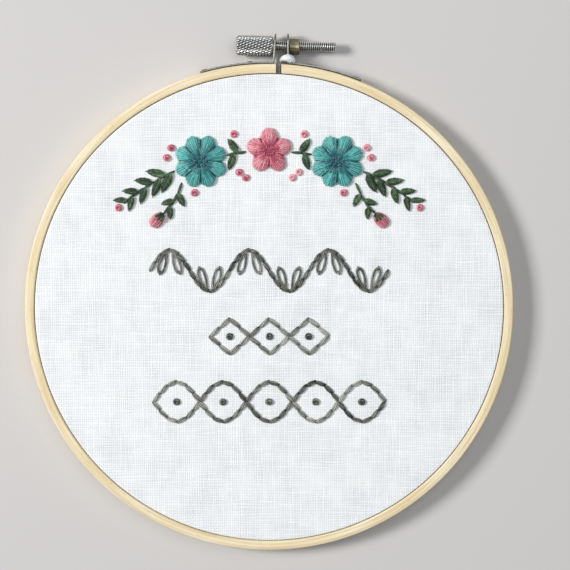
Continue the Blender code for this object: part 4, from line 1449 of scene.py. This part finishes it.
def make_garland():
    holes = make_blossom(
        "blossom_middle", arch_point(0), MIDDLE_BLOSSOM_RADIUS, MIDDLE_BLOSSOM_PETALS,
        MIDDLE_BLOSSOM_NOTCH, MIDDLE_BLOSSOM_TURN, ROSE,
    )
    for word, side in (("left", -1), ("right", 1)):
        centre = arch_point(side * SIDE_BLOSSOM_ALONG)
        holes += make_blossom(
            f"blossom_{word}", centre, SIDE_BLOSSOM_RADIUS, SIDE_BLOSSOM_PETALS,
            SIDE_BLOSSOM_NOTCH, 0.0, TEAL,
        )
        start = MIDDLE_BLOSSOM_RADIUS + STEM_CLEARANCE * 0.3
        end = SIDE_BLOSSOM_ALONG - SIDE_BLOSSOM_RADIUS - STEM_CLEARANCE * 0.3
        leaves = [
            (share, STEM_LEAF_TURN * turn, STEM_LEAF_LENGTH, STEM_LEAF_WIDTH)
            for share, turn in zip(STEM_LEAF_SHARES, (1, -1))
        ]
        holes += sprig_piece(f"stem_{word}", side, ((start, 0), (end, 0)), leaves)[1]
        start = SIDE_BLOSSOM_ALONG + SIDE_BLOSSOM_RADIUS + STEM_CLEARANCE
        length = SPRIG_END_ALONG - start
        leaves = []
        for number in range(SPRIG_LEAVES):
            share = (number + SPRIG_FIRST_LEAF) * SPRIG_LEAF_SPACING / length
            size = 1 - LEAF_SHRINK * number
            turn = SPRIG_LEAF_TURN * (1 if number % 2 else -1)
            leaves.append((share, turn, LEAF_LENGTH * size, LEAF_WIDTH * size))
        holes += sprig_piece(f"sprig_{word}", side, ((start, 0), (SPRIG_END_ALONG, 0)), leaves)[1]
        leaves = [(share, math.radians(turn), size, wide) for share, turn, size, wide in TENDRIL_LEAVES]
        places, made = sprig_piece(f"tendril_{word}", side, TENDRIL_ROWS, leaves, sepals=True)
        holes += made
        ahead = (places[-1] - places[-2]).normalized()
        holes += make_bud(word, places[-1] + ahead * STEM_CLEARANCE * 0.5, ahead)
        nodes = sorted(name for name in frame["nodes"] if name.startswith(f"knot_{word}_"))
        holes += make_knots(f"knots_{word}", nodes, ROSE, wandering_tones(0.78, 0.25, 0.25))
    return holes


def wave_part(length, rise, start, end, y, phase=1):
    """Part of a wave between two places given in quarter waves from its left end."""
    steps = 12
    points = []
    for step in range(steps + 1):
        quarter = start + (end - start) * step / steps
        points.append(Vector((quarter * length / 4, y + phase * rise * math.sin(math.pi / 2 * quarter))))
    return points


def wave_lines(length, quarters, rise, y, phase, tones, target):
    """Back stitches along a wave centred on zero, with a hole at each crest and crossing."""
    lines = []
    holes = []
    shift = Vector((-quarters * length / 8, 0))
    for quarter in range(quarters):
        points = [point + shift for point in wave_part(length, rise, quarter, quarter + 1, y, phase)]
        ends = stitch_ends(points, target)
        lines += backstitches(ends, "line", tones)
        holes += ends
    return lines, holes


def chain_loop(base, heading, length, width, tone):
    """A detached chain stitch: a drop-shaped loop held down at its tip by a short stitch."""
    ahead = Vector((math.cos(heading), math.sin(heading)))
    across = Vector((-ahead.y, ahead.x))
    bundle = bundle_height("loop")
    inset = FLOSS["loop"]["Half Width"] + FLOSS["loop"]["Strand Radius"]
    rows = []
    steps = 24
    for step in range(steps + 1):
        turn = 2 * math.pi * step / steps
        a = (length - inset) * (1 - math.cos(turn)) / 2
        b = (width / 2 - inset * 0.8) * math.sin(turn) * math.sin(turn / 2) / 0.77
        spot = base + ahead * a + across * b
        lift = -0.0003 if step in (0, steps) else bundle * 0.9
        rows.append((Vector((spot.x, spot.y, CLOTH_TOP + lift)), 0.6 if step in (0, steps) else 1.0, tone))
    tip_start = base + ahead * (length - 2.4 * inset)
    tip = stitch(tip_start, base + ahead * (length + 0.5 * inset), tone * 0.9, "loop")
    held = [
        (place + Vector((0, 0, bundle * 0.9 * taper)), taper * 0.7, shade)
        for place, taper, shade in tip
    ]
    return [rows, held]


def make_wave_border():
    tones = wandering_tones(*GREY_WANDER)
    lines, holes = wave_lines(WAVE_LENGTH, 4 * WAVE_COUNT, WAVE_RISE, WAVE_Y, 1, tones, WAVE_STITCH)
    loops = []
    for number in range(2 * WAVE_COUNT):
        side = 1 if number % 2 == 0 else -1
        x = (number + 0.5 - WAVE_COUNT) * WAVE_LENGTH / 2
        for turn in (WAVE_LEAF_TURN, -WAVE_LEAF_TURN):
            apart = math.copysign(WAVE_LEAF_APART, turn * side)
            base = Vector((x + apart, WAVE_Y + side * (WAVE_RISE - 0.0006)))
            heading = -side * math.pi / 2 + turn
            loops += chain_loop(base, heading, WAVE_LEAF_LENGTH, WAVE_LEAF_WIDTH, next(tones))
            holes += [base, base + Vector((math.cos(heading), math.sin(heading))) * WAVE_LEAF_LENGTH]
    line_part = floss_mesh("wave_line", lines, "line", GREY)
    loop_part = floss_mesh("wave_loops", loops, "loop", GREY)
    mesh = joined_parts("wave_stitches", [line_part, loop_part], GREY)
    add_piece("wave_stitches", at_hoop(mesh), GREY, ["border_wave"])
    return holes


def make_crossed_border(word, y, eye, eyes, rise, straight, target):
    """Two waves, or zigzags, that mirror each other, with a knot in each eye."""
    tones = wandering_tones(*GREY_WANDER)
    lines = []
    holes = []
    for phase in (1, -1):
        if straight:
            for number in range(2 * eyes):
                up = number % 2 == 0
                direction = phase if (number // 2) % 2 == 0 else -phase
                x = (number - eyes) * eye / 2
                low, high = Vector((x, y)), Vector((x + eye / 2, y))
                (high if up else low).y += direction * rise
                ends = stitch_ends([low, high], target)
                lines += backstitches(ends, "line", tones)
                holes += ends
        else:
            made, found = wave_lines(2 * eye, 2 * eyes, rise, y, phase, tones, target)
            lines += made
            holes += found
    mesh = floss_mesh(f"{word}_stitches", lines, "line", GREY)
    add_piece(f"{word}_stitches", at_hoop(mesh), GREY, [f"border_{word}"])
    nodes = sorted(name for name in frame["nodes"] if name.startswith(f"knot_{word}_"))
    holes += make_knots(f"knots_{word}", nodes, GREY, wandering_tones(0.35, 0.2, 0.2))
    return holes


# Studio
def make_floor():
    shape = bmesh.new()
    bmesh.ops.create_grid(shape, x_segments=1, y_segments=1, size=2.0)
    floor = bpy.data.objects.new("floor", mesh_from("floor", shape))
    material = bpy.data.materials.new("pale_floor")
    material.use_nodes = True
    shader = material.node_tree.nodes["Principled BSDF"]
    shader.inputs["Base Color"].default_value = (0.62, 0.60, 0.59, 1)
    shader.inputs["Roughness"].default_value = 0.8
    floor.data.materials.append(material)
    bpy.context.scene.collection.objects.link(floor)


def aim(item, target):
    item.rotation_euler = (target - item.location).to_track_quat("-Z", "Y").to_euler()


def make_light(name, place, size, power, colour):
    light = bpy.data.lights.new(name, "AREA")
    light.size = size
    light.energy = power
    light.color = colour
    item = bpy.data.objects.new(name, light)
    bpy.context.scene.collection.objects.link(item)
    item.location = place
    aim(item, Vector((0, 0, 0)))


def make_studio():
    make_floor()
    make_light("key", Vector((-1.48, 0.36, 1.30)), 0.55, 36.5, (1.0, 0.985, 0.965))
    make_light("soft_top", Vector((0.28, 0.30, 1.10)), 0.80, 4.3, (0.95, 0.975, 1.0))
    world = bpy.data.worlds.new("studio")
    world.use_nodes = True
    background = world.node_tree.nodes["Background"]
    background.inputs["Color"].default_value = (0.90, 0.95, 1.0, 1)
    background.inputs["Strength"].default_value = 0.22
    bpy.context.scene.world = world
    bpy.context.scene.view_settings.view_transform = "Standard"


def make_camera():
    camera = bpy.data.cameras.new("camera")
    camera.sensor_width = SENSOR_WIDTH
    camera.lens = SENSOR_WIDTH * CAMERA_DISTANCE / PICTURE_WIDTH
    camera.clip_start = 0.01
    item = bpy.data.objects.new("camera", camera)
    bpy.context.scene.collection.objects.link(item)
    back = Vector((0, -math.sin(CAMERA_TILT), math.cos(CAMERA_TILT)))
    item.location = PICTURE_MIDDLE + back * CAMERA_DISTANCE
    item.rotation_euler = (CAMERA_TILT, 0, 0)
    bpy.context.scene.camera = item


make_camera()
make_outer_ring()
make_inner_ring()
make_bracket("bracket_left", LEFT_LUG_X, LEFT_LUG_LEAN, LEFT_STRIP_END_X, LEFT_PIPS_X)
make_bracket("bracket_right", RIGHT_LUG_X, 0.0, RIGHT_STRIP_END_X, RIGHT_PIPS_X)
make_screw()
make_nut()
STITCH_HOLES = make_garland()
STITCH_HOLES += make_wave_border()
STITCH_HOLES += make_crossed_border(
    "diamond", DIAMOND_Y, DIAMOND_WIDTH, DIAMOND_COUNT, DIAMOND_RISE, True, DIAMOND_STITCH
)
STITCH_HOLES += make_crossed_border(
    "braid", BRAID_Y, BRAID_EYE, BRAID_COUNT, BRAID_RISE, False, BRAID_STITCH
)
CLOTH = make_cloth(STITCH_HOLES)
FOLD = make_fold()
make_studio()
